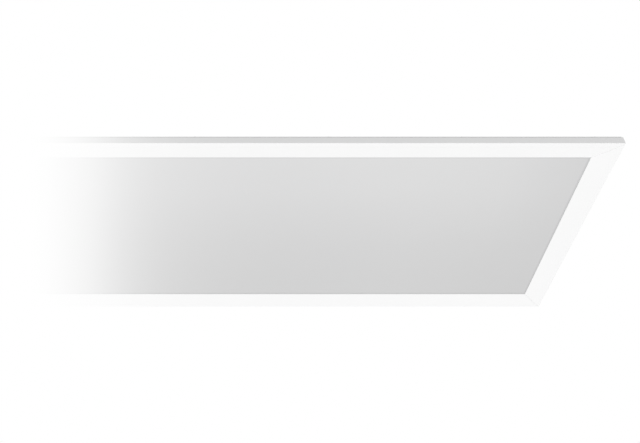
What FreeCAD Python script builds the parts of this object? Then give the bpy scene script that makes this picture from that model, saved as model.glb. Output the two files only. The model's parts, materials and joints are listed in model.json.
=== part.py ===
# Edge-lit LED panel light, 1195 x 295 mm, for a lay-in or suspended ceiling.
#
# X runs along the length, Y across the width, Z up.  The origin is the centre of
# the visible lower side, in the plane of the frame's rim: light leaves towards -Z
# and the driver sits on top of the back plate.  Left is -X and front is -Y.
#
# The driving dimensions live in the spreadsheet "Dims"; sketches, features and
# placements are bound to its cells by expressions.
import FreeCAD, Part
import Sketcher
import math
import os

Vector = FreeCAD.Vector
XY, XZ, YZ = "XY_Plane", "XZ_Plane", "YZ_Plane"
SIDES = (-1, 1)

doc = FreeCAD.newDocument("led_panel_light")
table_sheet = doc.addObject("Spreadsheet::Sheet", "Dims")

# alias, value in mm (or a count), meaning
TABLE = [
    ("panel_length", 1195.0, "overall length of the frame"),
    ("panel_width", 295.0, "overall width of the frame"),
    ("frame_height", 8.4, "height of the extruded profile"),
    ("plate_thick", 0.7, "thickness of the back plate"),
    ("plate_inset", 0.3, "back plate edge inside the frame's outer face"),
    ("bezel_width", 23.4, "width of the visible frame face"),
    ("rim_width", 6.0, "flat rim that rests on the ceiling grid"),
    ("bezel_rise", 4.4, "height of the inner lip above the rim"),
    ("shelf_height", 5.1, "level of the shelf that carries the optics"),
    ("wall_thick", 1.3, "outer wall of the profile"),
    ("groove_end", 3.5, "inner side of the screw groove"),
    ("ridge_end", 4.7, "inner side of the ridge that carries the light boards"),
    ("groove_floor", 4.9, "level of the screw groove's floor"),
    ("chamber_floor", 1.0, "level of the key chamber's floor"),
    ("chamber_roof", 4.1, "level of the key chamber's roof"),
    ("chamber_tip", 17.5, "inner end of the key chamber"),
    ("edge_round", 0.5, "rounding of the outer lower edge"),
    ("mitre_gap", 0.05, "half of the hairline gap at each mitre"),
    ("key_inset", 1.6, "corner key from the frame's outer face"),
    ("key_width", 4.4, "width of a corner key's arm"),
    ("key_arm", 34.0, "length of a corner key's arm"),
    ("key_low", 1.15, "underside of the corner key"),
    ("key_thick", 2.8, "thickness of the corner key"),
    ("optic_inset", 6.8, "edge of the optical sheets from the outer face"),
    ("diffuser_thick", 0.8, "opal diffuser"),
    ("guide_thick", 1.6, "light guide plate"),
    ("reflector_thick", 0.2, "reflector sheet"),
    ("foam_thick", 0.7, "foam pad behind the reflector"),
    ("cushion_thick", 1.6, "silicone strip at each end of the guide plate"),
    ("cushion_span", 240.0, "length of the silicone strip"),
    ("tape_thick", 0.1, "thermal tape behind each light board"),
    ("board_thick", 1.0, "light board"),
    ("board_low", 5.25, "lower edge of the light board"),
    ("board_tall", 3.05, "height of the light board"),
    ("board_end", 8.0, "end of the light board from the outer face"),
    ("chip_count", 96, "LED packages on each board"),
    ("chip_pitch", 12.0, "spacing of the LED packages"),
    ("chip_long", 4.0, "length of an LED package"),
    ("chip_tall", 1.3, "height of an LED package"),
    ("chip_deep", 0.7, "depth of an LED package"),
    ("chip_low", 6.05, "lower edge of the LED packages"),
    ("screw_line", 2.4, "back plate screws from the outer face"),
    ("screw_pitch_x", 127.0, "spacing of the long-side screws"),
    ("screw_count_x", 10, "screws along each long side"),
    ("screw_pitch_y", 100.0, "spacing of the end screws"),
    ("screw_count_y", 3, "screws along each end"),
    ("screw_hole_r", 1.2, "hole in the back plate"),
    ("screw_shank_r", 1.0, "self-tapping screw shank"),
    ("screw_head_r", 1.9, "self-tapping screw head"),
    ("screw_head_tall", 1.1, "height of the screw head"),
    ("screw_reach", 3.2, "shank below the back plate's underside"),
    ("rib_raise", 1.4, "height of the pressed ribs"),
    ("rib_half", 8.0, "half width of a rib"),
    ("rib_row", 62.0, "offset of the outer ribs from the centre line"),
    ("rib_start", 150.0, "near end of a rib from the centre"),
    ("rib_stop", 520.0, "far end of a rib from the centre"),
    ("rib_mid_start", 330.0, "near end of the short middle rib"),
    ("hang_x", 960.0, "suspension holes, spacing along X"),
    ("hang_y", 200.0, "suspension holes, spacing along Y"),
    ("hang_hole_r", 2.1, "suspension hole"),
    ("hang_tall", 5.0, "clear height under a suspension bracket"),
    ("hang_sheet", 1.2, "sheet of a suspension bracket"),
    ("hang_half", 8.0, "half of a bracket's clear span"),
    ("hang_foot", 18.0, "half of a bracket's length"),
    ("hang_wide", 16.0, "width of a bracket"),
    ("clip_in_x", 37.5, "clip pivot from the panel's end"),
    ("clip_in_y", 37.5, "clip pivot from the panel's long edge"),
    ("clip_sheet", 1.0, "sheet of a swivel clip"),
    ("clip_air", 0.05, "air under a swivel clip"),
    ("clip_reach", 35.5, "riser's outer face from the pivot"),
    ("clip_tall", 30.5, "height of a swivel clip"),
    ("clip_hook", 48.5, "hook tip from the pivot"),
    ("clip_lip", 4.0, "depth of the hook's lip"),
    ("clip_wide", 12.0, "width of a swivel clip"),
    ("clip_hole_r", 2.5, "pivot hole"),
    ("rivet_shank_r", 2.45, "pivot rivet shank"),
    ("rivet_head_r", 4.5, "pivot rivet head"),
    ("rivet_head_tall", 1.2, "height of the rivet head"),
    ("rivet_foot_tall", 0.6, "set foot of the rivet under the plate"),
    ("rivet_relief_r", 6.0, "clearance hole in the foam"),
    ("driver_long", 230.0, "driver housing length"),
    ("driver_wide", 64.0, "driver housing width"),
    ("tray_tall", 22.0, "height of the driver tray"),
    ("cap_tall", 8.0, "height of the lid and the terminal cover"),
    ("case_wall", 2.0, "wall of the driver housing"),
    ("bay_long", 62.0, "terminal bay, from the housing's end to the hinge axis"),
    ("hinge_r", 2.6, "hinge barrel"),
    ("hinge_pin_r", 1.0, "hinge pin"),
    ("hinge_hole_r", 1.05, "hole in the cover's barrel"),
    ("hinge_ear_hole_r", 1.02, "hole in the tray's ears"),
    ("lid_gap", 3.6, "lid's end from the hinge axis"),
    ("foot_x", 95.0, "driver feet from the centre along X"),
    ("foot_y", 38.0, "driver feet holes from the centre along Y"),
    ("foot_thick", 2.5, "thickness of a driver foot"),
    ("foot_hole_r", 1.75, "hole in a driver foot"),
    ("stud_r", 1.5, "weld stud"),
    ("stud_tall", 8.0, "height of a weld stud"),
    ("boss_r", 3.5, "lid screw boss"),
    ("boss_y", 27.0, "lid screw bosses from the centre line"),
    ("boss_left_x", -43.5, "left lid screws"),
    ("boss_right_x", 109.0, "right lid screws"),
    ("pcb_low", 6.0, "underside of the driver board above the plate"),
    ("pcb_thick", 1.6, "driver board"),
    ("pcb_left", -100.0, "left end of the driver board"),
    ("pcb_right", 108.0, "right end of the driver board"),
    ("pcb_half", 22.5, "half width of the driver board"),
    ("entry_z", 11.0, "mains entry axis above the plate"),
    ("entry_hole_r", 7.0, "hole in the tray for the entry bush"),
    ("entry_bore_r", 5.0, "bore of the entry bush"),
    ("entry_flange_r", 9.0, "flange of the entry bush"),
    ("block_left", -84.0, "terminal block, left side"),
    ("block_right", -62.0, "terminal block, right side"),
    ("block_half", 17.0, "terminal block, half width"),
    ("block_tall", 14.0, "terminal block height"),
    ("pole_pitch", 10.0, "spacing of the terminal poles"),
    ("dip_pitch", 3.2, "spacing of the selector levers"),
    ("lead_r", 2.5, "low-voltage lead"),
    ("plug_r", 5.5, "inline plug and socket"),
    ("exit_y", 12.0, "output lead's offset at the housing"),
    ("grommet_x", 275.0, "lead grommet in the back plate"),
    ("grommet_hole_r", 4.5, "hole for the lead grommet"),
    ("core_wire_r", 0.3, "single core inside the panel"),
    ("earth_x", -75.0, "earth stud"),
    ("earth_y", -52.0, "earth stud"),
    ("case_corner", 3.0, "rounding of the driver housing's upright corners"),
    ("bend_inner", 0.5, "inner radius of bent sheet"),
    ("clip_bend", 1.5, "outer radius of a swivel clip's bends"),
    ("hang_bend", 1.7, "outer radius of a bracket's bends"),
]

OPERATIONS = {
    "+": lambda a, b: a + b,
    "-": lambda a, b: a - b,
    "*": lambda a, b: a * b,
    "/": lambda a, b: a / b,
}


class Cell:
    """A number that also remembers the expression it comes from."""

    def __init__(self, text, value):
        self.text = text
        self.value = float(value)

    def __add__(self, other):
        return combine(self, "+", other)

    def __radd__(self, other):
        return combine(other, "+", self)

    def __sub__(self, other):
        return combine(self, "-", other)

    def __rsub__(self, other):
        return combine(other, "-", self)

    def __mul__(self, other):
        return combine(self, "*", other)

    def __rmul__(self, other):
        return combine(other, "*", self)

    def __truediv__(self, other):
        return combine(self, "/", other)

    def __neg__(self):
        return combine(0, "-", self)


def lift(x):
    """The Cell of a plain number; a Cell stays as it is."""
    if isinstance(x, Cell):
        return x
    return Cell("(%.6f)" % x if x < 0 else "%.6f" % x, x)


def combine(left, sign, right):
    left, right = lift(left), lift(right)
    value = OPERATIONS[sign](left.value, right.value)
    return Cell("(%s %s %s)" % (left.text, sign, right.text), value)


class Dims:
    """Holds one Cell per alias of the spreadsheet."""


dim = Dims()
for row, (alias, value, meaning) in enumerate(TABLE, start=1):
    table_sheet.set("A%d" % row, alias.replace("_", " "))
    table_sheet.set("B%d" % row, "%g" % value)
    table_sheet.set("C%d" % row, meaning)
    table_sheet.setAlias("B%d" % row, alias)
    setattr(dim, alias, Cell("Dims." + alias, value))
doc.recompute()

# ---------------------------------------------------------------- helpers
PARTS = []  # every object that is a piece of the light


def keep(obj):
    PARTS.append(obj)
    return obj


def new_body(name, piece=True):
    """An empty body: a piece of the light, or only a master for copies."""
    body = doc.addObject("PartDesign::Body", name)
    body.AllowCompound = True
    return keep(body) if piece else body


def shape_piece(label, shape):
    obj = keep(doc.addObject("Part::Feature", label))
    obj.Shape = shape
    return obj


def bind(obj, prop, amount):
    amount = lift(amount)
    setattr(obj, prop, amount.value)
    obj.setExpression(prop, amount.text)


def vector(x, y, z):
    return Vector(lift(x).value, lift(y).value, lift(z).value)


def origin_item(body, role):
    return next(o for o in body.Origin.OriginFeatures if o.Role == role)


def constrain(sketch, kind, name, arguments, amount):
    """Adds a named dimension, bound to the sheet if it depends on it."""
    index = sketch.addConstraint(Sketcher.Constraint(kind, *arguments, amount.value))
    sketch.renameConstraint(index, name)
    if "Dims" in amount.text:
        sketch.setExpression("Constraints." + name, amount.text)


def pin(sketch, geometry, position, x, y):
    """Fixes one sketch point both ways, measured from the sketch's origin."""
    target = (-1, 1, geometry, position)
    constrain(sketch, "DistanceX", "x%d" % geometry, target, x)
    constrain(sketch, "DistanceY", "y%d" % geometry, target, y)


def draw_polygon(sketch, points):
    first = sketch.GeometryCount
    count = len(points)
    points = [(lift(x), lift(y)) for x, y in points]
    corners = [vector(x, y, 0) for x, y in points]
    for k in range(count):
        sketch.addGeometry(Part.LineSegment(corners[k], corners[(k + 1) % count]), False)
    for k in range(count):
        following = first + (k + 1) % count
        sketch.addConstraint(Sketcher.Constraint("Coincident", first + k, 2, following, 1))
    for k, (x, y) in enumerate(points):
        pin(sketch, first + k, 1, x, y)


def draw_circle(sketch, x, y, radius):
    x, y, radius = lift(x), lift(y), lift(radius)
    circle = Part.Circle(vector(x, y, 0), Vector(0, 0, 1), radius.value)
    geometry = sketch.addGeometry(circle, False)
    pin(sketch, geometry, 3, x, y)
    constrain(sketch, "Radius", "r%d" % geometry, (geometry,), radius)


def new_sketch(body, plane, at, polygons=(), circles=()):
    """A sketch on an origin plane, moved by at along the plane's normal."""
    sketch = body.newObject("Sketcher::SketchObject", body.Name + "_sketch")
    sketch.AttachmentSupport = [(origin_item(body, plane), "")]
    sketch.MapMode = "FlatFace"
    if at is not None:
        at = lift(at)
        sketch.AttachmentOffset = FreeCAD.Placement(vector(0, 0, at), FreeCAD.Rotation())
        sketch.setExpression("AttachmentOffset.Base.z", at.text)
    for points in polygons:
        draw_polygon(sketch, points)
    for x, y, radius in circles:
        draw_circle(sketch, x, y, radius)
    return sketch


def extrude(kind, body, plane, at, length, polygons, circles, mid, taper):
    sketch = new_sketch(body, plane, at, polygons, circles)
    feature = body.newObject("PartDesign::" + kind, body.Name + "_" + kind.lower())
    feature.Profile = sketch
    bind(feature, "Length", length)
    if mid:
        feature.Midplane = True
    if taper:
        feature.TaperAngle = taper
    doc.recompute()
    return feature


def pad(body, plane, at, length, polygons=(), circles=(), mid=False, taper=0.0):
    """Pads along the plane's normal, or equally both ways if mid."""
    return extrude("Pad", body, plane, at, length, polygons, circles, mid, taper)


def pocket(body, plane, at, depth, polygons=(), circles=(), mid=False, taper=0.0):
    """Cuts, turning the cut round if the first way removes nothing."""
    before = body.Shape.Volume
    cut = extrude("Pocket", body, plane, at, depth, polygons, circles, mid, taper)
    if not cut.isValid() or cut.Shape.isNull() or before - cut.Shape.Volume < 1e-6:
        cut.Reversed = True
        doc.recompute()
    if before - cut.Shape.Volume < 1e-6:
        raise RuntimeError("pocket in %s removes nothing" % body.Name)
    return cut


def pattern(body, originals, axis, count, gap):
    """Repeats the named features, or the whole body when none is named."""
    feature = body.newObject("PartDesign::LinearPattern", body.Name + "_pattern")
    if originals:
        feature.Originals = originals
    else:
        feature.TransformMode = "Whole shape"
    feature.Direction = (origin_item(body, axis), [""])
    feature.Mode = "Spacing"
    feature.setExpression("Occurrences", lift(count).text)
    feature.setExpression("Offset", lift(gap).text)
    body.Tip = feature
    doc.recompute()


def fillet(body, radius, picks):
    """Rounds the edges that pass through the picked points."""
    tip = body.Tip
    spots = [Part.Vertex(vector(*pick)) for pick in picks]
    names = [
        "Edge%d" % k
        for k, edge in enumerate(tip.Shape.Edges, start=1)
        if any(spot.distToShape(edge)[0] < 1e-4 for spot in spots)
    ]
    if len(names) != len(picks):
        raise RuntimeError("%s: %d of %d edges" % (body.Name, len(names), len(picks)))
    feature = body.newObject("PartDesign::Fillet", body.Name + "_fillet")
    feature.Base = (tip, names)
    bind(feature, "Radius", radius)
    doc.recompute()
    if not feature.isValid() or feature.Shape.isNull():
        raise RuntimeError("fillet in %s fails" % body.Name)


def revolve(body, points):
    """Turns a half profile of (radius, height) points about the body's Z axis."""
    sketch = new_sketch(body, XZ, None, [points])
    feature = body.newObject("PartDesign::Revolution", body.Name + "_turn")
    feature.Profile = sketch
    feature.ReferenceAxis = (sketch, ["V_Axis"])
    feature.Angle = 360.0
    doc.recompute()


def place(obj, x, y, z, turn=0.0, axis=(0, 0, 1)):
    rotation = FreeCAD.Rotation(Vector(*axis), turn)
    obj.Placement = FreeCAD.Placement(vector(x, y, z), rotation)
    for key, amount in (("x", lift(x)), ("y", lift(y)), ("z", lift(z))):
        if "Dims" in amount.text:
            obj.setExpression("Placement.Base." + key, amount.text)


def copies(label, master, spots):
    """One piece of separate solids: the master at each (x, y, z[, turn about Z])."""
    doc.recompute()
    shapes = []
    for x, y, z, *turn in spots:
        shape = master.Shape.copy()
        rotation = FreeCAD.Rotation(Vector(0, 0, 1), turn[0] if turn else 0)
        shape.Placement = FreeCAD.Placement(vector(x, y, z), rotation)
        shapes.append(shape)
    shape_piece(label, Part.makeCompound(shapes))


def bent(points, radius, bend):
    """A round wire along straight runs joined by arcs of radius bend."""
    points = [vector(*point) for point in points]
    radius = lift(radius).value
    pieces = []
    start = points[0]
    for k in range(1, len(points)):
        run = (points[k] - points[k - 1]).normalize()
        if k == len(points) - 1:
            pieces.append(Part.makeCylinder(radius, (points[k] - start).Length, start, run))
            break
        onward = (points[k + 1] - points[k]).normalize()
        angle = math.acos(max(-1.0, min(1.0, run.dot(onward))))
        setback = bend * math.tan(angle / 2)
        stop = points[k] - run * setback
        pieces.append(Part.makeCylinder(radius, (stop - start).Length, start, run))
        axis = run.cross(onward).normalize()
        centre = stop + axis.cross(run).normalize() * bend
        face = Part.Face(Part.Wire([Part.makeCircle(radius, stop, run)]))
        pieces.append(face.revolve(centre, axis, math.degrees(angle)))
        start = points[k] + onward * setback
    return pieces[0].fuse(pieces[1:]).removeSplitter()


def solid_of(shape):
    """The solid itself when a boolean returns it wrapped in a compound."""
    return shape.Solids[0] if len(shape.Solids) == 1 else shape


# outlines and lists of places
def rect(x0, x1, y0, y1):
    return [(x0, y0), (x1, y0), (x1, y1), (x0, y1)]


def rect_at(x, y, half_x, half_y):
    return rect(x - half_x, x + half_x, y - half_y, y + half_y)


def cut_rect(x0, x1, y, half, cut):
    """Rectangle about the line at y, its corners cut off at 45 degrees."""
    return [
        (x0 + cut, y - half),
        (x1 - cut, y - half),
        (x1, y - half + cut),
        (x1, y + half - cut),
        (x1 - cut, y + half),
        (x0 + cut, y + half),
        (x0, y + half - cut),
        (x0, y - half + cut),
    ]


def cross(arm, half):
    """Cross with arms of the given reach and half width."""
    return [
        (-arm, -half), (-half, -half), (-half, -arm), (half, -arm),
        (half, -half), (arm, -half), (arm, half), (half, half),
        (half, arm), (-half, arm), (-half, half), (-arm, half),
    ]


def mirrored(points, side_x, side_y):
    return [(x * side_x, y * side_y) for x, y in points]


def four_corners(x, y):
    return [(x * a, y * b) for a in SIDES for b in SIDES]


def circles_at(spots, radius):
    return [(x, y, radius) for x, y in spots]


def slab(label, outline, low, thick):
    pad(new_body(label), XY, low, thick, [outline])


# levels and half sizes used all over
HALF_LONG = dim.panel_length / 2
HALF_WIDE = dim.panel_width / 2
PLATE_TOP = dim.frame_height + dim.plate_thick
DIFFUSER_TOP = dim.shelf_height + dim.diffuser_thick
GUIDE_TOP = DIFFUSER_TOP + dim.guide_thick
REFLECTOR_TOP = GUIDE_TOP + dim.reflector_thick
CLIP_SPOTS = four_corners(HALF_LONG - dim.clip_in_x, HALF_WIDE - dim.clip_in_y)

# ---------------------------------------------------------------- frame
MITRE_OVERRUN = 1  # mitre cuts go this far outside the frame
MITRE_REACH = dim.bezel_width + 3  # and this far inwards from its outer face
MITRE_SHIFT = dim.mitre_gap * 1.4142  # half gap, measured along the profile
TOP_BEVEL = 0.2


def profile_section(side, half):
    """Outer and chamber outlines of the profile on one side of the panel."""
    edge = dim.edge_round
    # distance inwards from the outer face, height
    outer = [
        # the rounded lower edge, in steps of 30 degrees
        (0, edge),
        (edge * 0.134, edge * 0.5),
        (edge * 0.5, edge * 0.134),
        (edge, 0),
        (dim.rim_width, 0),
        # the inner lip, its edge cut off
        (dim.bezel_width - 0.25, dim.bezel_rise - 0.05),
        (dim.bezel_width, dim.bezel_rise + 0.2),
        (dim.bezel_width, dim.shelf_height),
        (dim.ridge_end, dim.shelf_height),
        (dim.ridge_end, dim.frame_height),
        (dim.groove_end, dim.frame_height),
        (dim.groove_end, dim.groove_floor),
        (dim.wall_thick, dim.groove_floor),
        (dim.wall_thick, dim.frame_height),
        (TOP_BEVEL, dim.frame_height),
        (0, dim.frame_height - TOP_BEVEL),
    ]
    chamber = [
        (dim.wall_thick, dim.chamber_floor),
        (dim.rim_width, dim.chamber_floor),
        (dim.chamber_tip, dim.chamber_roof),
        (dim.wall_thick, dim.chamber_roof),
    ]
    return [[((half - inwards) * side, z) for inwards, z in line] for line in (outer, chamber)]


def frame_profile(label, side, lengthwise):
    """One mitred side of the frame, running along X if lengthwise, else along Y."""
    along, across = (HALF_LONG, HALF_WIDE) if lengthwise else (HALF_WIDE, HALF_LONG)
    body = new_body(label)
    plane = YZ if lengthwise else XZ
    pad(body, plane, None, along * 2, profile_section(side, across), mid=True)
    cut = [
        (along + MITRE_OVERRUN - MITRE_SHIFT, across + MITRE_OVERRUN),
        (along + MITRE_OVERRUN, across + MITRE_OVERRUN),
        (along + MITRE_OVERRUN, across - MITRE_REACH),
        (along - MITRE_REACH - MITRE_SHIFT, across - MITRE_REACH),
    ]
    cuts = [mirrored(cut, end, side) for end in SIDES]
    if not lengthwise:
        cuts = [[(x, y) for y, x in points] for points in cuts]
    pocket(body, XY, PLATE_TOP, PLATE_TOP + 1, cuts)


def corner_keys():
    """L-shaped keys slide into the profiles' chambers and hold the mitres."""
    x, y = HALF_LONG - dim.key_inset, HALF_WIDE - dim.key_inset
    arm, width = dim.key_arm, dim.key_width
    outline = [
        (x, y),
        (x - arm, y),
        (x - arm, y - width),
        (x - width, y - width),
        (x - width, y - arm),
        (x, y - arm),
    ]
    outlines = [mirrored(outline, a, b) for a in SIDES for b in SIDES]
    pad(new_body("corner_keys"), XY, dim.key_low, dim.key_thick, outlines)


# ------------------------------------------------------------ back plate
PLATE_CORNER = 1  # corner cut of the plate
RIB_CORNER = 5  # corner cut of a rib
RIB_SKIN = 0.2  # outline of a rib's hollow inside the rib's own
RIB_TAPER = -60.0  # sloping sides of the ribs, in degrees
SCREW_LINE_X = HALF_LONG - dim.screw_line
SCREW_LINE_Y = HALF_WIDE - dim.screw_line
FIRST_SCREW_X = -(dim.screw_count_x - 1) * dim.screw_pitch_x / 2
FIRST_SCREW_Y = -(dim.screw_count_y - 1) * dim.screw_pitch_y / 2


def back_plate():
    plate = new_body("back_plate")
    edge_x, edge_y = HALF_LONG - dim.plate_inset, HALF_WIDE - dim.plate_inset
    outline = cut_rect(-edge_x, edge_x, lift(0), edge_y, PLATE_CORNER)
    pad(plate, XY, dim.frame_height, dim.plate_thick, [outline])

    # pressed ribs: start along X, end along X, centre line
    spans = []
    for side in SIDES:
        spans.append((dim.rib_start, dim.rib_stop, dim.rib_row * side))
        spans.append((-dim.rib_stop, -dim.rib_start, dim.rib_row * side))
    spans.append((dim.rib_mid_start, dim.rib_stop, lift(0)))
    spans.append((-dim.rib_stop, -dim.rib_start, lift(0)))
    raised = [cut_rect(x0, x1, y, dim.rib_half, RIB_CORNER) for x0, x1, y in spans]
    hollow = [
        cut_rect(x0 + RIB_SKIN, x1 - RIB_SKIN, y, dim.rib_half - RIB_SKIN, RIB_CORNER - 0.1)
        for x0, x1, y in spans
    ]
    pad(plate, XY, PLATE_TOP, dim.rib_raise, raised, taper=RIB_TAPER)
    pocket(plate, XY, dim.frame_height, dim.rib_raise, hollow, taper=RIB_TAPER)

    rows = (
        ("X_Axis", [(FIRST_SCREW_X, SCREW_LINE_Y * side) for side in (1, -1)],
         dim.screw_count_x, dim.screw_pitch_x),
        ("Y_Axis", [(SCREW_LINE_X * side, FIRST_SCREW_Y) for side in (1, -1)],
         dim.screw_count_y, dim.screw_pitch_y),
    )
    for axis, spots, count, pitch in rows:
        circles = circles_at(spots, dim.screw_hole_r)
        holes = pocket(plate, XY, PLATE_TOP, dim.plate_thick, circles=circles)
        pattern(plate, [holes], axis, count, pitch)
    grommet_hole = (dim.grommet_x, 0, dim.grommet_hole_r)
    circles = circles_at(CLIP_SPOTS, dim.clip_hole_r) + [grommet_hole]
    pocket(plate, XY, PLATE_TOP, dim.plate_thick, circles=circles)


def back_plate_screws():
    """Self-tapping screws with a cross recess, round the plate's edge."""
    screw = new_body("plate_screw_master", piece=False)
    head, tall, shank = dim.screw_head_r, dim.screw_head_tall, dim.screw_shank_r
    tip = -dim.plate_thick - dim.screw_reach
    profile = [
        (0, tip),
        (shank * 0.35, tip),
        (shank, tip + 0.9),
        (shank, 0),
        (head, 0),
        (head, tall * 0.28),
        (head * 0.84, tall * 0.68),
        (head * 0.53, tall * 0.92),
        (0, tall),
    ]
    revolve(screw, profile)
    pocket(screw, XY, tall + 0.1, 0.8, [cross(1.15, 0.22)])
    spots = []
    for k in range(int(dim.screw_count_x.value)):
        x = FIRST_SCREW_X + dim.screw_pitch_x * k
        spots += [(x, SCREW_LINE_Y * side, PLATE_TOP, 17.0 * k) for side in SIDES]
    for k in range(int(dim.screw_count_y.value)):
        y = FIRST_SCREW_Y + dim.screw_pitch_y * k
        spots += [(SCREW_LINE_X * side, y, PLATE_TOP, 31.0 * k) for side in SIDES]
    copies("back_plate_screws", screw, spots)


# ---------------------------------------------------------------- optics
OPTIC_X = HALF_LONG - dim.optic_inset
OPTIC_Y = HALF_WIDE - dim.optic_inset
FOAM_HOLE_R = 7  # round the grommet
FOAM_SLOT_HALF = 2.5  # half width of the slot for the supply cores
CUSHION_AIR = 0.05  # between a cushion and the frame's ridge
BOARD_X = HALF_LONG - dim.board_end
TAPE_BACK = HALF_WIDE - dim.ridge_end
BOARD_BACK = TAPE_BACK - dim.tape_thick
BOARD_FACE = BOARD_BACK - dim.board_thick
CORE_BEND = 0.7
CORE_AIR = 0.02  # between a core's end and the light board's end
CORE_SPREAD = 1.1  # supply cores from the centre line
CORE_Z = REFLECTOR_TOP + 0.35
CORE_X = OPTIC_X + 1.05  # cores' run across the panel
CORE_Y = BOARD_BACK - dim.board_thick / 2


def optical_sheets():
    outline = rect(-OPTIC_X, OPTIC_X, -OPTIC_Y, OPTIC_Y)
    slab("diffuser_sheet", outline, dim.shelf_height, dim.diffuser_thick)
    slab("light_guide_plate", outline, DIFFUSER_TOP, dim.guide_thick)
    slab("reflector_sheet", outline, GUIDE_TOP, dim.reflector_thick)


def foam_pad():
    foam = new_body("foam_pad")
    thick = dim.foam_thick
    top = REFLECTOR_TOP + thick
    pad(foam, XY, REFLECTOR_TOP, thick, [rect(-OPTIC_X, OPTIC_X, -OPTIC_Y, OPTIC_Y)])
    slot_start = dim.grommet_x - FOAM_HOLE_R
    slot = rect(slot_start, OPTIC_X + 1, -FOAM_SLOT_HALF, FOAM_SLOT_HALF)
    pocket(foam, XY, top, thick, [slot], circles_at(CLIP_SPOTS, dim.rivet_relief_r))
    # cut on its own, as it overlaps the slot
    pocket(foam, XY, top, thick, circles=[(dim.grommet_x, 0, FOAM_HOLE_R)])


def guide_plate_cushions():
    outer = HALF_LONG - dim.ridge_end - CUSHION_AIR
    half = dim.cushion_span / 2
    outline = rect(outer - dim.cushion_thick, outer, -half, half)
    outlines = [mirrored(outline, side, 1) for side in SIDES]
    tall = dim.diffuser_thick + dim.guide_thick
    pad(new_body("guide_plate_cushions"), XY, dim.shelf_height, tall, outlines)


def thermal_tapes():
    outline = rect(-BOARD_X, BOARD_X, BOARD_BACK, TAPE_BACK)
    outlines = [mirrored(outline, 1, side) for side in SIDES]
    pad(new_body("thermal_tapes"), XY, dim.board_low, dim.board_tall, outlines)


def light_boards():
    """A board along each long side, with its row of LED packages."""
    for end, side in (("front", -1), ("rear", 1)):
        outline = rect(-BOARD_X, BOARD_X, BOARD_FACE * side, BOARD_BACK * side)
        slab("light_board_" + end, outline, dim.board_low, dim.board_tall)
        first = -(dim.chip_count - 1) * dim.chip_pitch / 2
        half = dim.chip_long / 2
        front = BOARD_FACE - dim.chip_deep
        outline = rect(first - half, first + half, front * side, BOARD_FACE * side)
        body = new_body("led_packages_" + end)
        chip = pad(body, XY, dim.chip_low, dim.chip_tall, [outline])
        pattern(body, [chip], "X_Axis", dim.chip_count, dim.chip_pitch)


def single_cores():
    """Two cores feed the boards at the right end, one links them at the left."""
    board_end = BOARD_X + CORE_AIR
    for label, side in (("supply_core_positive", -1), ("supply_core_negative", 1)):
        route = [
            (dim.grommet_x + 1.2, CORE_SPREAD * side, CORE_Z),
            (CORE_X, CORE_SPREAD * side, CORE_Z),
            (CORE_X, CORE_Y * side, CORE_Z),
            (board_end, CORE_Y * side, CORE_Z),
        ]
        shape_piece(label, solid_of(bent(route, dim.core_wire_r, CORE_BEND)))
    route = [
        (-board_end, -CORE_Y, CORE_Z),
        (-CORE_X, -CORE_Y, CORE_Z),
        (-CORE_X, CORE_Y, CORE_Z),
        (-board_end, CORE_Y, CORE_Z),
    ]
    shape_piece("board_link_core", solid_of(bent(route, dim.core_wire_r, CORE_BEND)))


# ------------------------------------------------- hardware on the back plate
def suspension_brackets():
    """Four omega-shaped straps: the left pair is modelled, then repeated."""
    hang = new_body("suspension_brackets")
    half, clear, sheet, foot = dim.hang_half, dim.hang_tall, dim.hang_sheet, dim.hang_foot
    x, y = -dim.hang_x / 2, -dim.hang_y / 2
    # from the bracket's middle, above the plate
    omega = [
        (-foot, 0),
        (-half, 0),
        (-half, clear),
        (half, clear),
        (half, 0),
        (foot, 0),
        (foot, sheet),
        (half + sheet, sheet),
        (half + sheet, clear + sheet),
        (-half - sheet, clear + sheet),
        (-half - sheet, sheet),
        (-foot, sheet),
    ]
    omega = [(x + dx, PLATE_TOP + dz) for dx, dz in omega]
    # the sketch plane's normal is -Y, so a positive offset is towards -Y
    for side in SIDES:
        pad(hang, XZ, -y * side - dim.hang_wide / 2, dim.hang_wide, [omega])
    outer_bends = ((half, 0), (half + sheet, clear + sheet))
    inner_bends = ((half, clear), (half + sheet, sheet))
    for radius, bends in ((dim.hang_bend, outer_bends), (dim.bend_inner, inner_bends)):
        picks = [
            (x + dx * end, y * side, PLATE_TOP + dz)
            for side in SIDES
            for dx, dz in bends
            for end in SIDES
        ]
        fillet(hang, radius, picks)
    holes = circles_at([(x, y), (x, -y)], dim.hang_hole_r)
    pocket(hang, XY, PLATE_TOP + clear + sheet, sheet + 1, circles=holes)
    pattern(hang, [], "X_Axis", 2, dim.hang_x)


def swivel_clip(label, spot, turn):
    body = new_body(label)
    air, sheet = dim.clip_air, dim.clip_sheet
    reach, tall, hook = dim.clip_reach, dim.clip_tall, dim.clip_hook
    profile = [
        (0, air),
        (reach, air),
        (reach, tall - sheet),
        (hook - sheet, tall - sheet),
        (hook - sheet, tall - dim.clip_lip),
        (hook, tall - dim.clip_lip),
        (hook, tall),
        (reach - sheet, tall),
        (reach - sheet, air + sheet),
        (0, air + sheet),
    ]
    pad(body, XZ, None, dim.clip_wide, [profile], mid=True)
    outer_bends = [(reach, 0, air), (reach - sheet, 0, tall), (hook, 0, tall)]
    inner_bends = [
        (reach - sheet, 0, air + sheet),
        (reach, 0, tall - sheet),
        (hook - sheet, 0, tall - sheet),
    ]
    fillet(body, dim.clip_bend, outer_bends)
    fillet(body, dim.bend_inner, inner_bends)
    pad(body, XY, air, sheet, circles=[(0, 0, dim.clip_wide / 2)])
    pocket(body, XY, air + sheet, sheet, circles=[(0, 0, dim.clip_hole_r)])
    place(body, *spot, PLATE_TOP, turn)


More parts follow.
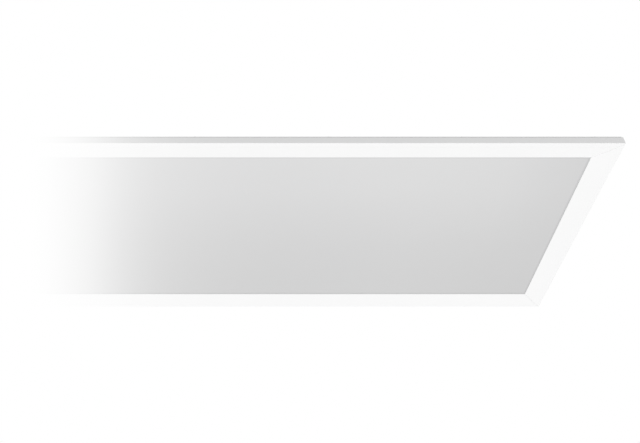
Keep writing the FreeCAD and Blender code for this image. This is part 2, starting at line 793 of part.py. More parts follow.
def swivel_clips():
    """Stowed, each clip points along the panel towards its middle."""
    # in the order of the spots, with the turn about Z
    ends = (("front_left", 0.0), ("rear_left", 0.0), ("front_right", 180.0), ("rear_right", 180.0))
    for (name, turn), spot in zip(ends, CLIP_SPOTS):
        swivel_clip("swivel_clip_" + name, spot, turn)


def clip_pivot_rivets():
    rivet = new_body("pivot_rivet_master", piece=False)
    head, shank = dim.rivet_head_r, dim.rivet_shank_r
    under = -dim.plate_thick
    neck = dim.clip_air + dim.clip_sheet + 0.06
    profile = [
        (0, under - dim.rivet_foot_tall),
        (head * 0.8, under - dim.rivet_foot_tall),
        (head, under - 0.25),
        (head, under),
        (shank, under),
        (shank, neck),
        (head, neck),
        (head, neck + 0.45),
        (head * 0.75, neck + 0.95),
        (head * 0.35, neck + dim.rivet_head_tall),
        (0, neck + dim.rivet_head_tall),
    ]
    revolve(rivet, profile)
    copies("clip_pivot_rivets", rivet, [(x, y, PLATE_TOP) for x, y in CLIP_SPOTS])


# -------------------------------------------------------- driver housing
CASE_X, CASE_Y = dim.driver_long / 2, dim.driver_wide / 2
WALL = dim.case_wall
INNER_X, INNER_Y = CASE_X - WALL, CASE_Y - WALL
TRAY_FLOOR = PLATE_TOP + WALL
TRAY_TOP = PLATE_TOP + dim.tray_tall
CASE_TOP = TRAY_TOP + dim.cap_tall
HINGE_X = dim.bay_long - CASE_X
HINGE_Z = CASE_TOP - dim.hinge_r
LID_X = HINGE_X + dim.lid_gap  # left end of the lid
PCB_LOW = PLATE_TOP + dim.pcb_low
PCB_TOP = PCB_LOW + dim.pcb_thick
LEAD_Z = PLATE_TOP + dim.entry_z
FEET = four_corners(dim.foot_x, dim.foot_y)
BOSSES = [(x, dim.boss_y * side) for x in (dim.boss_left_x, dim.boss_right_x) for side in SIDES]
BOARD_POSTS = [(-95, -18), (-56, 18), (103, -18), (99, 19)]
CLAMP_X, CLAMP_Y = -106.0, 11.0
CLAMP_POSTS = [(CLAMP_X, CLAMP_Y), (CLAMP_X, -CLAMP_Y)]
CLAMP_LOW = PLATE_TOP + 16  # underside of the cable clamp bar
CLAMP_THICK = 3.5
POST_R = 3
PILOT_R = 1.3  # screw holes in the bosses and posts
JOIN = 0.5  # overlap of padded details with the walls and floor they stand on
FOOT_HALF = 7  # half width of a driver foot
FOOT_END = 5  # foot beyond its hole
HEAD_SINK = 2.4  # depth of the lid's counterbores
COVER_LOW = TRAY_TOP + 0.2


def driver_tray():
    tray = new_body("driver_tray")
    pad(tray, XY, PLATE_TOP, dim.tray_tall, [rect(-CASE_X, CASE_X, -CASE_Y, CASE_Y)])
    mid_level = PLATE_TOP + dim.tray_tall / 2
    fillet(tray, dim.case_corner, [(x, y, mid_level) for x, y in four_corners(CASE_X, CASE_Y)])
    # a bar for the hinge right across; hollowing the tray leaves only its ears
    half = dim.hinge_r - 0.2
    stem = rect(HINGE_X - half, HINGE_X + half, TRAY_TOP - 1, HINGE_Z)
    pad(tray, XZ, None, dim.driver_wide, [stem], mid=True)
    barrel = (HINGE_X, HINGE_Z, dim.hinge_r)
    pad(tray, XZ, None, dim.driver_wide, circles=[barrel], mid=True)
    inside = rect(-INNER_X, INNER_X, -INNER_Y, INNER_Y)
    pocket(tray, XY, CASE_TOP + 1, CASE_TOP + 1 - TRAY_FLOOR, [inside])

    feet = [
        rect(x - FOOT_HALF, x + FOOT_HALF, (CASE_Y - JOIN) * side, (dim.foot_y + FOOT_END) * side)
        for x in (dim.foot_x, -dim.foot_x)
        for side in SIDES
    ]
    pad(tray, XY, PLATE_TOP, dim.foot_thick, feet)
    # top, places, radius, depth of the screw hole
    posts = (
        (TRAY_TOP, BOSSES, dim.boss_r, 14),
        (PCB_LOW, BOARD_POSTS, POST_R, 3.6),
        (CLAMP_LOW, CLAMP_POSTS, POST_R, 10),
    )
    for top, spots, radius, _ in posts:
        length = top - TRAY_FLOOR + JOIN
        pad(tray, XY, TRAY_FLOOR - JOIN, length, circles=circles_at(spots, radius))
    for top, spots, _, depth in posts:
        pocket(tray, XY, top, depth, circles=circles_at(spots, PILOT_R))
    foot_holes = circles_at(FEET, dim.foot_hole_r)
    pocket(tray, XY, PLATE_TOP + dim.foot_thick, dim.foot_thick, circles=foot_holes)

    # mains entry at the left end, output lead at the right
    pocket(tray, YZ, -CASE_X - 1, WALL + 2, circles=[(0, LEAD_Z, dim.entry_hole_r)])
    pocket(tray, YZ, CASE_X + 1, WALL + 2, circles=[(dim.exit_y, LEAD_Z, dim.lead_r + 1.0)])
    pin_hole = (HINGE_X, HINGE_Z, dim.hinge_ear_hole_r)
    pocket(tray, XZ, None, dim.driver_wide + 4, circles=[pin_hole], mid=True)
    # notch in the front wall for the earth lead
    notch = rect(dim.earth_x - 2, dim.earth_x + 2, -CASE_Y - 1, 0.5 - INNER_Y)
    pocket(tray, XY, TRAY_TOP, 5, [notch])


def driver_lid():
    lid = new_body("driver_lid")
    pad(lid, XY, TRAY_TOP, dim.cap_tall, [rect(LID_X, CASE_X, -CASE_Y, CASE_Y)])
    mid_level = TRAY_TOP + dim.cap_tall / 2
    fillet(lid, dim.case_corner, [(CASE_X, CASE_Y * side, mid_level) for side in SIDES])
    inside = rect(LID_X + WALL, INNER_X, -INNER_Y, INNER_Y)
    pocket(lid, XY, TRAY_TOP, dim.cap_tall - WALL, [inside])
    pad(lid, XY, TRAY_TOP, dim.cap_tall - JOIN, circles=circles_at(BOSSES, dim.boss_r))
    # the bay wall hangs down inside the tray and stops just above the board
    wall_low = PCB_TOP + 1.4
    wall_half = INNER_Y - 0.3
    bay_wall = rect(LID_X, LID_X + 1.6, -wall_half, wall_half)
    pad(lid, XY, wall_low, TRAY_TOP + 1 - wall_low, [bay_wall])
    pocket(lid, XY, CASE_TOP, dim.cap_tall, circles=circles_at(BOSSES, 1.6))
    pocket(lid, XY, CASE_TOP, HEAD_SINK, circles=circles_at(BOSSES, 2.9))
    # shallow rectangular recess in the top
    pocket(lid, XY, CASE_TOP, 0.5, [rect(-14, 84, -18, 18)])


def case_screw(name, length, tip, recess):
    """Pan-head screw master, its seat at z = 0; tip is the tapered length."""
    screw = new_body(name, piece=False)
    profile = [
        (0, -length),
        (0.4, -length),
        (1.2, tip - length),
        (1.2, 0),
        (2.6, 0),
        (2.6, 0.9),
        (2.1, 1.6),
        (1.2, 2.0),
        (0, 2.1),
    ]
    revolve(screw, profile)
    pocket(screw, XY, 2.2, 1.3, [recess])
    return screw


def driver_screws():
    """Cross-recessed lid screws; slotted screws for the board and the clamp bar."""
    slot = rect_at(0, 0, 1.6, 0.3)
    screw = case_screw("case_screw_master", 18, 1.4, cross(1.5, 0.3))
    seat = CASE_TOP - HEAD_SINK
    spots = [(x, y, seat, 20.0 * k) for k, (x, y) in enumerate(BOSSES)]
    copies("driver_lid_screws", screw, spots)
    screw = case_screw("board_screw_master", 4.9, 0.7, slot)
    spots = [(x, y, PCB_TOP, 25.0 * k) for k, (x, y) in enumerate(BOARD_POSTS)]
    copies("driver_board_screws", screw, spots)
    screw = case_screw("clamp_screw_master", 11.5, 1.0, slot)
    seat = CLAMP_LOW + CLAMP_THICK
    spots = [(x, y, seat, turn) for (x, y), turn in zip(CLAMP_POSTS, (40.0, -15.0))]
    copies("cable_clamp_screws", screw, spots)


def terminal_cover():
    """A shallow cap on a barrel hinge."""
    cover = new_body("terminal_cover")
    cap = rect(-CASE_X, HINGE_X - 3, -CASE_Y, CASE_Y)
    pad(cover, XY, COVER_LOW, CASE_TOP - COVER_LOW, [cap])
    mid_level = (COVER_LOW + CASE_TOP) / 2
    fillet(cover, dim.case_corner, [(-CASE_X, CASE_Y * side, mid_level) for side in SIDES])
    inside = rect(-INNER_X, HINGE_X - 2, -INNER_Y, INNER_Y)
    pocket(cover, XY, COVER_LOW, CASE_TOP - WALL - COVER_LOW, [inside])
    half = INNER_Y - 0.2
    pad(cover, XY, CASE_TOP - WALL, WALL, [rect(HINGE_X - 4, HINGE_X, -half, half)])
    barrel = (HINGE_X, HINGE_Z, dim.hinge_r)
    pad(cover, XZ, None, half * 2, circles=[barrel], mid=True)
    pin_hole = (HINGE_X, HINGE_Z, dim.hinge_hole_r)
    pocket(cover, XZ, None, dim.driver_wide, circles=[pin_hole], mid=True)
    # tab at the left end
    pad(cover, XY, CASE_TOP - 2.5, 2.5, [rect(-CASE_X - 2.2, JOIN - CASE_X, -9, 9)])


def cover_hinge_pin():
    end_gap = 0.2  # pin's ends inside the housing's sides
    hinge_pin = keep(doc.addObject("Part::Cylinder", "cover_hinge_pin"))
    bind(hinge_pin, "Radius", dim.hinge_pin_r)
    bind(hinge_pin, "Height", dim.driver_wide - end_gap * 2)
    place(hinge_pin, HINGE_X, CASE_Y - end_gap, HINGE_Z, 90.0, (1, 0, 0))


# ------------------------------------------------------------ mains side
BLOCK_TOP = PCB_TOP + dim.block_tall
POLES = [dim.pole_pitch * k for k in (-1, 0, 1)]
BUTTON_X = -73
WELL_HALF_X, WELL_HALF_Y = 3, 2.5  # wells of the release buttons
BUTTON_AIR = 0.1
BUTTON_RISE = 2  # above the block's top
SWITCH_X = -92.5
SWITCH_TALL = 5
LEVER_Y = [10.5 + dim.dip_pitch * k for k in range(3)]
SLOT_HALF_X, SLOT_HALF_Y, SLOT_DEEP = 1.9, 0.9, 3
LEVER_AIR = 0.1


def mains_entry_bush():
    bush = new_body("mains_entry_bush")
    flange, neck = dim.entry_flange_r, dim.entry_hole_r - 0.03
    # z = 0 is the housing's outer face, +z leads inwards
    profile = [
        (dim.entry_bore_r, -2),
        (flange - 0.6, -2),
        (flange, -1.4),
        (flange, 0),
        (neck, 0),
        (neck, WALL),
        (flange - 0.8, WALL),
        (flange - 0.8, WALL + 1.5),
        (dim.entry_bore_r, WALL + 1.5),
    ]
    revolve(bush, profile)
    place(bush, -CASE_X, 0, LEAD_Z, 90.0, (0, 1, 0))


def mains_terminal_block():
    block = new_body("mains_terminal_block")
    left = dim.block_left
    outline = rect(left, dim.block_right, -dim.block_half, dim.block_half)
    pad(block, XY, PCB_TOP, dim.block_tall, [outline])
    # wire holes from the left, button wells, and notches in the upper left edge
    pocket(block, YZ, left - 1, 13, circles=[(y, PCB_TOP + 4.4, 2.2) for y in POLES])
    wells = [rect_at(BUTTON_X, y, WELL_HALF_X, WELL_HALF_Y) for y in POLES]
    pocket(block, XY, BLOCK_TOP, 6, wells)
    notches = [rect(left - 0.5, left + 1.6, y - 3.4, y + 3.4) for y in POLES]
    pocket(block, XY, BLOCK_TOP, 1.2, notches)


def release_buttons():
    """One button per pole, with a groove across its top."""
    half_x, half_y = WELL_HALF_X - BUTTON_AIR, WELL_HALF_Y - BUTTON_AIR
    for pole, y in zip(("earth", "neutral", "live"), POLES):
        button = new_body("release_button_" + pole)
        pad(button, XY, BLOCK_TOP - 4, 4 + BUTTON_RISE, [rect_at(BUTTON_X, y, half_x, half_y)])
        pocket(button, XY, BLOCK_TOP + BUTTON_RISE, 0.6, [rect_at(BUTTON_X, y, 1.2, 0.5)])


def selector_switch():
    switch = new_body("selector_switch_body")
    outline = rect(SWITCH_X - 4.5, SWITCH_X + 4.5, LEVER_Y[0] - 3, LEVER_Y[-1] + 3)
    pad(switch, XY, PCB_TOP, SWITCH_TALL, [outline])
    slots = [rect_at(SWITCH_X, y, SLOT_HALF_X, SLOT_HALF_Y) for y in LEVER_Y]
    pocket(switch, XY, PCB_TOP + SWITCH_TALL, SLOT_DEEP, slots)
    # each lever stands at the left end of its slot
    lever_left = SWITCH_X - SLOT_HALF_X + LEVER_AIR
    lever_low = PCB_TOP + SWITCH_TALL - SLOT_DEEP + LEVER_AIR
    half = SLOT_HALF_Y - LEVER_AIR
    for k, y in enumerate(LEVER_Y, start=1):
        outline = rect(lever_left, lever_left + 2, y - half, y + half)
        slab("selector_lever_%d" % k, outline, lever_low, 4.2)


def cable_clamp_bar():
    clamp = new_body("cable_clamp_bar")
    pad(clamp, XY, CLAMP_LOW, CLAMP_THICK, [rect_at(CLAMP_X, 0, 3.5, CLAMP_Y + 4)])
    holes = circles_at(CLAMP_POSTS, 1.5)
    pocket(clamp, XY, CLAMP_LOW + CLAMP_THICK, CLAMP_THICK, circles=holes)


# ------------------------------------- driver board and its electronics
TRAFO_X = 26  # middle of the transformer
TRAFO_LOW = PCB_TOP + 5.4  # underside of its core
TRAFO_TALL = 9
LEG_HALF = 4  # half width of the core's middle leg
WINDOW_END = 10  # outer side of the core's windows, from its middle
WINDOW_HALF = 10  # half length of the windows
COIL_AIR = 0.2  # between the winding and the core
SINK_FACE = -18.5  # rear face of the heat sink
FUSE_LONG = 9.0


def driver_board():
    board = new_body("driver_board")
    outline = rect(dim.pcb_left, dim.pcb_right, -dim.pcb_half, dim.pcb_half)
    pad(board, XY, PCB_LOW, dim.pcb_thick, [outline])
    pocket(board, XY, PCB_TOP, dim.pcb_thick, circles=circles_at(BOARD_POSTS, 1.4))


def transformer():
    windows = [
        rect(TRAFO_X + LEG_HALF * side, TRAFO_X + WINDOW_END * side, -WINDOW_HALF, WINDOW_HALF)
        for side in SIDES
    ]
    core = new_body("transformer_core")
    pad(core, XY, TRAFO_LOW, TRAFO_TALL, [rect_at(TRAFO_X, 0, 16, 14)] + windows)
    coil = new_body("transformer_winding")
    outline = rect_at(TRAFO_X, 0, WINDOW_END - COIL_AIR, WINDOW_HALF - COIL_AIR)
    pad(coil, XY, PCB_TOP, 19, [outline])
    # tunnel for the core's middle leg
    half = LEG_HALF + COIL_AIR
    low, high = TRAFO_LOW - COIL_AIR, TRAFO_LOW + TRAFO_TALL + COIL_AIR
    pocket(coil, XZ, None, 24, [rect(TRAFO_X - half, TRAFO_X + half, low, high)], mid=True)


def electrolytic_capacitors():
    can = new_body("capacitor_master", piece=False)
    # a can with a bead near its foot
    profile = [
        (0, 0), (7.6, 0), (8, 0.4), (8, 1.8), (7.5, 2.3),
        (8, 2.8), (8, 18.4), (7.4, 19), (6.8, 18.7), (0, 18.7),
    ]
    revolve(can, profile)
    spots = [(56, 12, PCB_TOP), (56, -12, PCB_TOP), (76, 4, PCB_TOP, 30.0)]
    copies("electrolytic_capacitors", can, spots)


def small_components():
    slab("film_capacitor", rect(-38, -20, -16, -6), PCB_TOP, 14)
    slab("heat_sink", rect(-8, 6, -21, SINK_FACE), PCB_TOP, 17)
    slab("power_transistor", rect(-6, 4, SINK_FACE, -14), PCB_TOP + 2, 14)
    choke = keep(doc.addObject("Part::Torus", "line_choke"))
    choke.Radius1 = 7.5
    choke.Radius2 = 3.8
    place(choke, -26, 10, PCB_TOP + 3.9)
    fuse = keep(doc.addObject("Part::Cylinder", "line_fuse"))
    fuse.Radius = 2.6
    fuse.Height = FUSE_LONG
    place(fuse, -42, FUSE_LONG / 2, PCB_TOP + 2.7, 90.0, (1, 0, 0))


# ------------------------------------------------------ low-voltage side
LINK_Y = 20  # axis of the inline connector
LINK_Z = PLATE_TOP + dim.plug_r
SOCKET_X = 152  # left end of the socket
SOCKET_LONG = 23
LEAD_AIR = 0.02  # round the leads in the connector


def output_lead():
    route = [
        (98, dim.exit_y, LEAD_Z),
        (CASE_X + 11, dim.exit_y, LEAD_Z),
        (143, LINK_Y, LINK_Z),
        (163, LINK_Y, LINK_Z),
    ]
    shape_piece("output_lead", solid_of(bent(route, dim.lead_r, 12.0)))


def inline_connector():
    """Socket and plug, both turned so that their +z is +X."""
    outer, bore = dim.plug_r, dim.lead_r + LEAD_AIR
    socket = new_body("inline_socket")
    profile = [
        (bore, 0),
        (outer * 0.62, 0),
        (outer * 0.8, 4),
        (outer, 8),
        (outer, 11),
        (outer * 0.9, 11.6),
        (outer * 0.9, 13),
        (outer, 13.6),
        (outer, SOCKET_LONG),
        (outer * 0.66, SOCKET_LONG),
        (outer * 0.66, 14),
        (bore, 14),
    ]
    revolve(socket, profile)
    place(socket, SOCKET_X, LINK_Y, LINK_Z, 90.0, (0, 1, 0))
    plug = new_body("inline_plug")
    profile = [
        (bore, 23),
        (outer * 0.62, 23),
        (outer * 0.8, 19),
        (outer, 15),
        (outer, 12),
        (outer * 0.9, 11.4),
        (outer * 0.9, 10),
        (outer, 9.4),
        (outer, 0.1),
        (outer * 0.64, 0.1),
        (outer * 0.64, -7),
        (outer * 0.36, -7),
        (outer * 0.36, 8),
        (bore, 8),
    ]
    revolve(plug, profile)
    place(plug, SOCKET_X + SOCKET_LONG, LINK_Y, LINK_Z, 90.0, (0, 1, 0))


def panel_lead():
    """From the plug over to the grommet and down through it."""
    high = LINK_Z + 7.0
    route = [
        (184, LINK_Y, LINK_Z),
        (208, LINK_Y, LINK_Z),
        (240, 3, LINK_Z + 0.5),
        (261, 0, high),
        (dim.grommet_x, 0, high),
        (dim.grommet_x, 0, dim.frame_height + 0.2),
    ]
    shape_piece("panel_lead", solid_of(bent(route, dim.lead_r, 6.0)))


def lead_grommet():
    grommet = new_body("lead_grommet")
    bore, neck = dim.lead_r + 0.03, dim.grommet_hole_r - 0.03
    under, flange = -dim.plate_thick, 0.5
    # z = 0 is the plate's top
    profile = [
        (bore, under - flange),
        (5.6, under - flange),
        (5.6, under),
        (neck, under),
        (neck, 0),
        (6.6, 0),
        (6.6, 1.4),
        (5.2, 2.2),
        (4.2, 2.4),
        (bore, 2.4),
    ]
    revolve(grommet, profile)
    # notch in the right side of the lower flange
    pocket(grommet, XY, under, flange, [rect(1.0, 6.0, -1.8, 1.8)])
    place(grommet, dim.grommet_x, 0, PLATE_TOP)


# ------------------------------------------------- studs and earth lead
RING_THICK = 0.8
NUT_HALF = 2.75  # half the width across the nut's flats
NUT_TOP = 3.1


def weld_studs():
    """Four studs hold the driver, one takes the earth lead."""
    stud = new_body("weld_stud_master", piece=False)
    radius, tall = dim.stud_r, dim.stud_tall
    profile = [
        (0, 0),
        (radius + 0.02, 0),
        (radius, 0.02),
        (radius, tall - 0.6),
        (radius - 0.5, tall),
        (0, tall),
    ]
    revolve(stud, profile)
    spots = [(x, y, PLATE_TOP) for x, y in FEET + [(dim.earth_x, dim.earth_y)]]
    copies("weld_studs", stud, spots)


def stud_nuts():
    """Hexagon nuts, each with a round flange below."""
    nut = new_body("stud_nut_master", piece=False)
    corner = NUT_HALF / math.cos(math.pi / 6)
    angles = [math.pi / 3 * k for k in range(6)]
    hexagon = [(corner * math.cos(angle), corner * math.sin(angle)) for angle in angles]
    pad(nut, XY, None, 0.6, circles=[(0, 0, 4)])
    pad(nut, XY, 0.5, NUT_TOP - 0.5, [hexagon])
    pocket(nut, XY, NUT_TOP, NUT_TOP, circles=[(0, 0, dim.stud_r + 0.05)])
    foot_top = PLATE_TOP + dim.foot_thick
    spots = [(x, y, foot_top, 13.0 * k) for k, (x, y) in enumerate(FEET)]
    spots.append((dim.earth_x, dim.earth_y, PLATE_TOP + RING_THICK + 0.05, 8.0))
    copies("stud_nuts", nut, spots)


def earth_lead():
    """A crimped ring on the stud, and a wire over the wall to the terminal block."""
    x, y, z = dim.earth_x, dim.earth_y, PLATE_TOP
    crimp_r = 1.9
    high, low = z + 19.3, z + 14.5
    ring = Part.makeCylinder(3.6, RING_THICK, vector(x, y, z))
    tongue = Part.makeBox(4.4, 8.0, RING_THICK, vector(x - 2.2, y + 1.8, z))
    crimp = Part.makeCylinder(crimp_r, 5.0, vector(x, y + 8.0, z + crimp_r), Vector(0, 1, 0))
    route = [
        (x, y + 12.0, z + crimp_r),
        (x, y + 15.4, z + crimp_r),
        (x, y + 15.4, high),
        (x, y + 25.0, high),
        (x, y + 30.0, low),
        (x, -dim.block_half - 0.02, low),
    ]
    earth = ring.fuse(tongue).fuse(crimp).fuse(bent(route, 1.1, 2.2))
    earth = earth.cut(Part.makeCylinder(1.6, 3.0, vector(x, y, z - 1.0)))
    shape_piece("earth_lead", solid_of(earth.removeSplitter()))


# ----------------------------------------------------------------- build
frame_profile("frame_profile_front", -1, lengthwise=True)
frame_profile("frame_profile_rear", 1, lengthwise=True)
frame_profile("frame_profile_left", -1, lengthwise=False)
frame_profile("frame_profile_right", 1, lengthwise=False)
BUILDERS = (
    corner_keys, back_plate, back_plate_screws,
    optical_sheets, foam_pad, guide_plate_cushions, thermal_tapes, light_boards, single_cores,
    suspension_brackets, swivel_clips, clip_pivot_rivets,
    driver_tray, driver_lid, driver_screws, driver_board, terminal_cover, cover_hinge_pin,
    mains_entry_bush, mains_terminal_block, release_buttons, selector_switch, cable_clamp_bar,
    transformer, electrolytic_capacitors, small_components,
    output_lead, inline_connector, panel_lead, lead_grommet,
    weld_studs, stud_nuts, earth_lead,
)
for build in BUILDERS:
    build()

# ---------------------------------------------------------------- output
doc.recompute()
for obj in doc.Objects:
    bad = [state for state in obj.State if "Invalid" in state or "Error" in state]
    if bad:
        raise RuntimeError("%s (%s): %s" % (obj.Name, obj.Label, bad))
os.makedirs("parts", exist_ok=True)
for old in os.listdir("parts"):
    if old.endswith(".step"):
        os.remove(os.path.join("parts", old))
for obj in PARTS:
    shape = obj.Shape
    if shape.isNull() or not shape.isValid() or not shape.Solids:
        raise RuntimeError("%s has no valid solid" % obj.Label)
    shape.exportStep("parts/%s.step" % obj.Label)
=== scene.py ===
# A flat LED light panel, lying level with its long opal face down (-Z). The back plate, driver,
# terminal cover and suspension brackets look up (+Z). Front is -Y, rear +Y, right +X; in metres.
import json
import math
import bmesh
import bpy
from mathutils import Matrix, Vector


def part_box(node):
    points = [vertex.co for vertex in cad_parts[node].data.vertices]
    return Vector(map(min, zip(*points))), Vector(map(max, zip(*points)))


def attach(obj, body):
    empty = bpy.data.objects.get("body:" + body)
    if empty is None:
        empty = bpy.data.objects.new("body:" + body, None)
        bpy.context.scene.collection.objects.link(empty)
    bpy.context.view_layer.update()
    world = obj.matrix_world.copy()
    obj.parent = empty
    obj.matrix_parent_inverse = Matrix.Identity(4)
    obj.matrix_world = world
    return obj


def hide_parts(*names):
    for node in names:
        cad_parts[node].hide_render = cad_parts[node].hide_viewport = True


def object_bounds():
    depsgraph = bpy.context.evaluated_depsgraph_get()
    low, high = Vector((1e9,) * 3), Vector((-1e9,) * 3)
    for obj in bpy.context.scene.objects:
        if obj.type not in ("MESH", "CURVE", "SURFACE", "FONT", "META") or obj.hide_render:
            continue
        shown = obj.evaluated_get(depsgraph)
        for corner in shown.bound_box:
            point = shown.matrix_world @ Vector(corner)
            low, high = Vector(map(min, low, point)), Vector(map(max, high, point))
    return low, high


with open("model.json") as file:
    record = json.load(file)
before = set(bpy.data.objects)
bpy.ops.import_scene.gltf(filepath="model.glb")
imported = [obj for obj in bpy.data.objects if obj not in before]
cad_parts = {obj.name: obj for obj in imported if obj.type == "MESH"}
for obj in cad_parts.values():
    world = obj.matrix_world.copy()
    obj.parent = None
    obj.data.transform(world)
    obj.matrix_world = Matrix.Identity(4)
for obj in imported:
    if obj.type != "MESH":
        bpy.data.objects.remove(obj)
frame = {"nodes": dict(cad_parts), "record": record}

CAD_LO, CAD_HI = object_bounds()
NODES = frame["nodes"]
MM = 0.001
scene = bpy.context.scene

# The rating plate on the driver lid, and the frame printed on it.
LID_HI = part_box("driver_lid")[1]
PLATE_X = LID_HI[0] - 80.0 * MM
PLATE_HALF_X = 48.0 * MM
PLATE_HALF_Y = 17.2 * MM
BORDER_HALF_X = PLATE_HALF_X - 2.5 * MM
BORDER_HALF_Y = PLATE_HALF_Y - 2.4 * MM

MATERIALS = {}


# ------------------------------------------------------------------ node helpers
class Nodes:
    """The emptied shader tree of a material or world, filled by short calls."""

    def __init__(self, owner):
        owner.use_nodes = True
        self.tree = owner.node_tree
        self.tree.nodes.clear()

    def put(self, socket, value):
        if isinstance(value, bpy.types.NodeSocket):
            self.tree.links.new(value, socket)
        elif socket.type == "RGBA":
            socket.default_value = (*value, 1.0)
        else:
            socket.default_value = value

    def node(self, kind, *values, settings=None, **inputs):
        """Adds a node; values fill its inputs in order, keywords fill them by name."""
        node = self.tree.nodes.new("ShaderNode" + kind)
        for key, value in (settings or {}).items():
            setattr(node, key, value)
        for socket, value in zip(node.inputs, values):
            self.put(socket, value)
        for key, value in inputs.items():
            self.put(node.inputs[key.replace("_", " ")], value)
        return node

    def xyz(self, vector):
        return self.node("SeparateXYZ", Vector=vector).outputs

    def map(self, value, low, high, start=0.0, stop=1.0):
        """Takes the range start..stop to low..high, clamped."""
        return self.node(
            "MapRange", From_Min=start, From_Max=stop, To_Min=low, To_Max=high, Value=value
        ).outputs[0]

    def ramp(self, value, *stops):
        """A color ramp; each stop is (position, grey or color)."""
        node = self.node("ValToRGB", value)
        elements = node.color_ramp.elements
        while len(elements) < len(stops):
            elements.new(0.5)
        for k, (position, color) in enumerate(stops):
            elements[k].position = position
            rgb = color if isinstance(color, tuple) else (color,) * 3
            elements[k].color = (*rgb, 1.0)
        return node.outputs[0]

    def mix_shader(self, factor, first, second):
        return self.node("MixShader", factor, first, second).outputs[0]


class Mat(Nodes):
    """A material driven by the object's own coordinates; scales are per metre, depths in metres."""

    def __init__(self, name):
        material = bpy.data.materials.new(name)
        MATERIALS[name] = material
        super().__init__(material)
        self.position = self.node("TexCoord").outputs["Object"]
        self.normal = None

    def xyz(self, vector=None):
        return super().xyz(vector or self.position)

    def stretched(self, x):
        return self.node("Mapping", Scale=(x, 1.0, 1.0), Vector=self.position).outputs[0]

    def noise(self, scale, detail=2.0, rough=0.5, vector=None):
        return self.node(
            "TexNoise", Scale=scale, Detail=detail, Roughness=rough, Vector=vector or self.position
        ).outputs[0]

    def patches(self, low=0.0, high=1.0, span=(0.3, 0.7), **noise):
        """Noise whose span is taken to low..high."""
        return self.map(self.noise(**noise), low, high, *span)

    def voronoi(self, scale, output="Distance"):
        return self.node("TexVoronoi", Scale=scale, Vector=self.position).outputs[output]

    def wave(self, scale, axis="X", distort=0.0):
        return self.node(
            "TexWave", settings={"bands_direction": axis},
            Scale=scale, Distortion=distort, Vector=self.position,
        ).outputs[1]

    def math(self, operation, a, b=0.0):
        return self.node("Math", a, b, 0.0, settings={"operation": operation}).outputs[0]

    def mix(self, factor, a, b, blend="MIX"):
        settings = {"data_type": "RGBA", "blend_type": blend}
        return self.node("Mix", settings=settings, Factor=factor, A=a, B=b).outputs["Result"]

    def grey(self, value):
        return self.node("CombineColor", value, value, value).outputs[0]

    def facing(self):
        """The surface's true normal in the object's own frame."""
        normal = self.node("NewGeometry").outputs["Normal"]
        settings = {"vector_type": "NORMAL", "convert_from": "WORLD", "convert_to": "OBJECT"}
        return self.xyz(self.node("VectorTransform", normal, settings=settings).outputs[0])

    def bump(self, height, depth):
        """Lays a relief over those already there."""
        below = {} if self.normal is None else {"Normal": self.normal}
        self.normal = self.node(
            "Bump", Distance=depth, Strength=1.0, Height=height, **below
        ).outputs[0]

    def grain(self, depth, **noise):
        self.bump(self.noise(**noise), depth)

    def principled(self, color, rough, metal=0.0, **more):
        return self.node(
            "BsdfPrincipled", Base_Color=color, Roughness=rough, Metallic=metal,
            Normal=self.normal, **more,
        ).outputs[0]

    def surface(self, shader):
        self.node("OutputMaterial", shader)

    def finish(self, color, rough, metal=0.0, **more):
        self.surface(self.principled(color, rough, metal, **more))


def tint(color, factor):
    return tuple(min(1.0, channel * factor) for channel in color)


def material(build):
    """Builds a material named after its function."""
    build(Mat(build.__name__))
    return build


# ------------------------------------------------------------------ materials
@material
def frame_powder_coat(mat):
    base = (0.913, 0.913, 0.913)
    color = mat.mix(mat.patches(scale=14.0, detail=3.0), base, tint(base, 0.985))
    mat.grain(scale=950.0, rough=0.45, depth=12e-6)
    mat.grain(scale=3600.0, detail=1.0, depth=2.16e-6)
    rough = mat.patches(0.38, 0.47, scale=60.0, detail=3.0)
    mat.finish(color, rough, Coat_Weight=0.12, Coat_Roughness=0.22)


@material
def back_plate_coat(mat):
    """Silver-grey coated sheet with a rolled grain; sheared edges show the steel."""
    sheared = mat.math("LESS_THAN", mat.math("ABSOLUTE", mat.facing()[2]), 0.25)
    smear = mat.patches(span=(0.35, 0.7), scale=7.0, detail=4.0, rough=0.6)
    coat = mat.mix(smear, (0.47, 0.48, 0.49), (0.42, 0.43, 0.445))
    rolled = mat.noise(scale=420.0, detail=3.0, rough=0.6, vector=mat.stretched(x=0.04))
    coat = mat.mix(mat.map(rolled, 0.0, 0.35, 0.35, 0.7), coat, (0.53, 0.54, 0.545))
    dust = mat.patches(0.0, 0.22, span=(0.52, 0.80), scale=26.0, detail=5.0, rough=0.72)
    coat = mat.mix(dust, coat, (0.60, 0.595, 0.58))
    steel = mat.mix(mat.noise(scale=900.0, detail=3.0), (0.50, 0.51, 0.52), (0.68, 0.69, 0.70))
    mat.bump(rolled, depth=12e-6)
    mat.grain(scale=9.0, depth=12e-5)
    rough = mat.patches(0.40, 0.56, scale=25.0, detail=4.0, rough=0.6)
    mat.finish(mat.mix(sheared, coat, steel), rough, metal=mat.math("MULTIPLY", sheared, 0.6))


def plated(name, base, rough):
    """Bright metal: soft spangle, drawn lines along X and darker rubbed spots."""
    mat = Mat(name)
    spangle = mat.voronoi(scale=260.0, output="Color")
    rubbed = mat.patches(0.80, 1.06, span=(0.25, 0.75), scale=90.0, detail=4.0, rough=0.6)
    color = mat.mix(0.045, base, spangle, blend="OVERLAY")
    color = mat.mix(0.8, color, mat.grey(rubbed), blend="MULTIPLY")
    mat.grain(scale=700.0, vector=mat.stretched(x=0.06), depth=3e-6)
    mat.grain(scale=1500.0, depth=2e-6)
    rough = mat.patches(rough - 0.02, rough + 0.16, scale=170.0, detail=3.0)
    mat.finish(color, rough, metal=1.0)


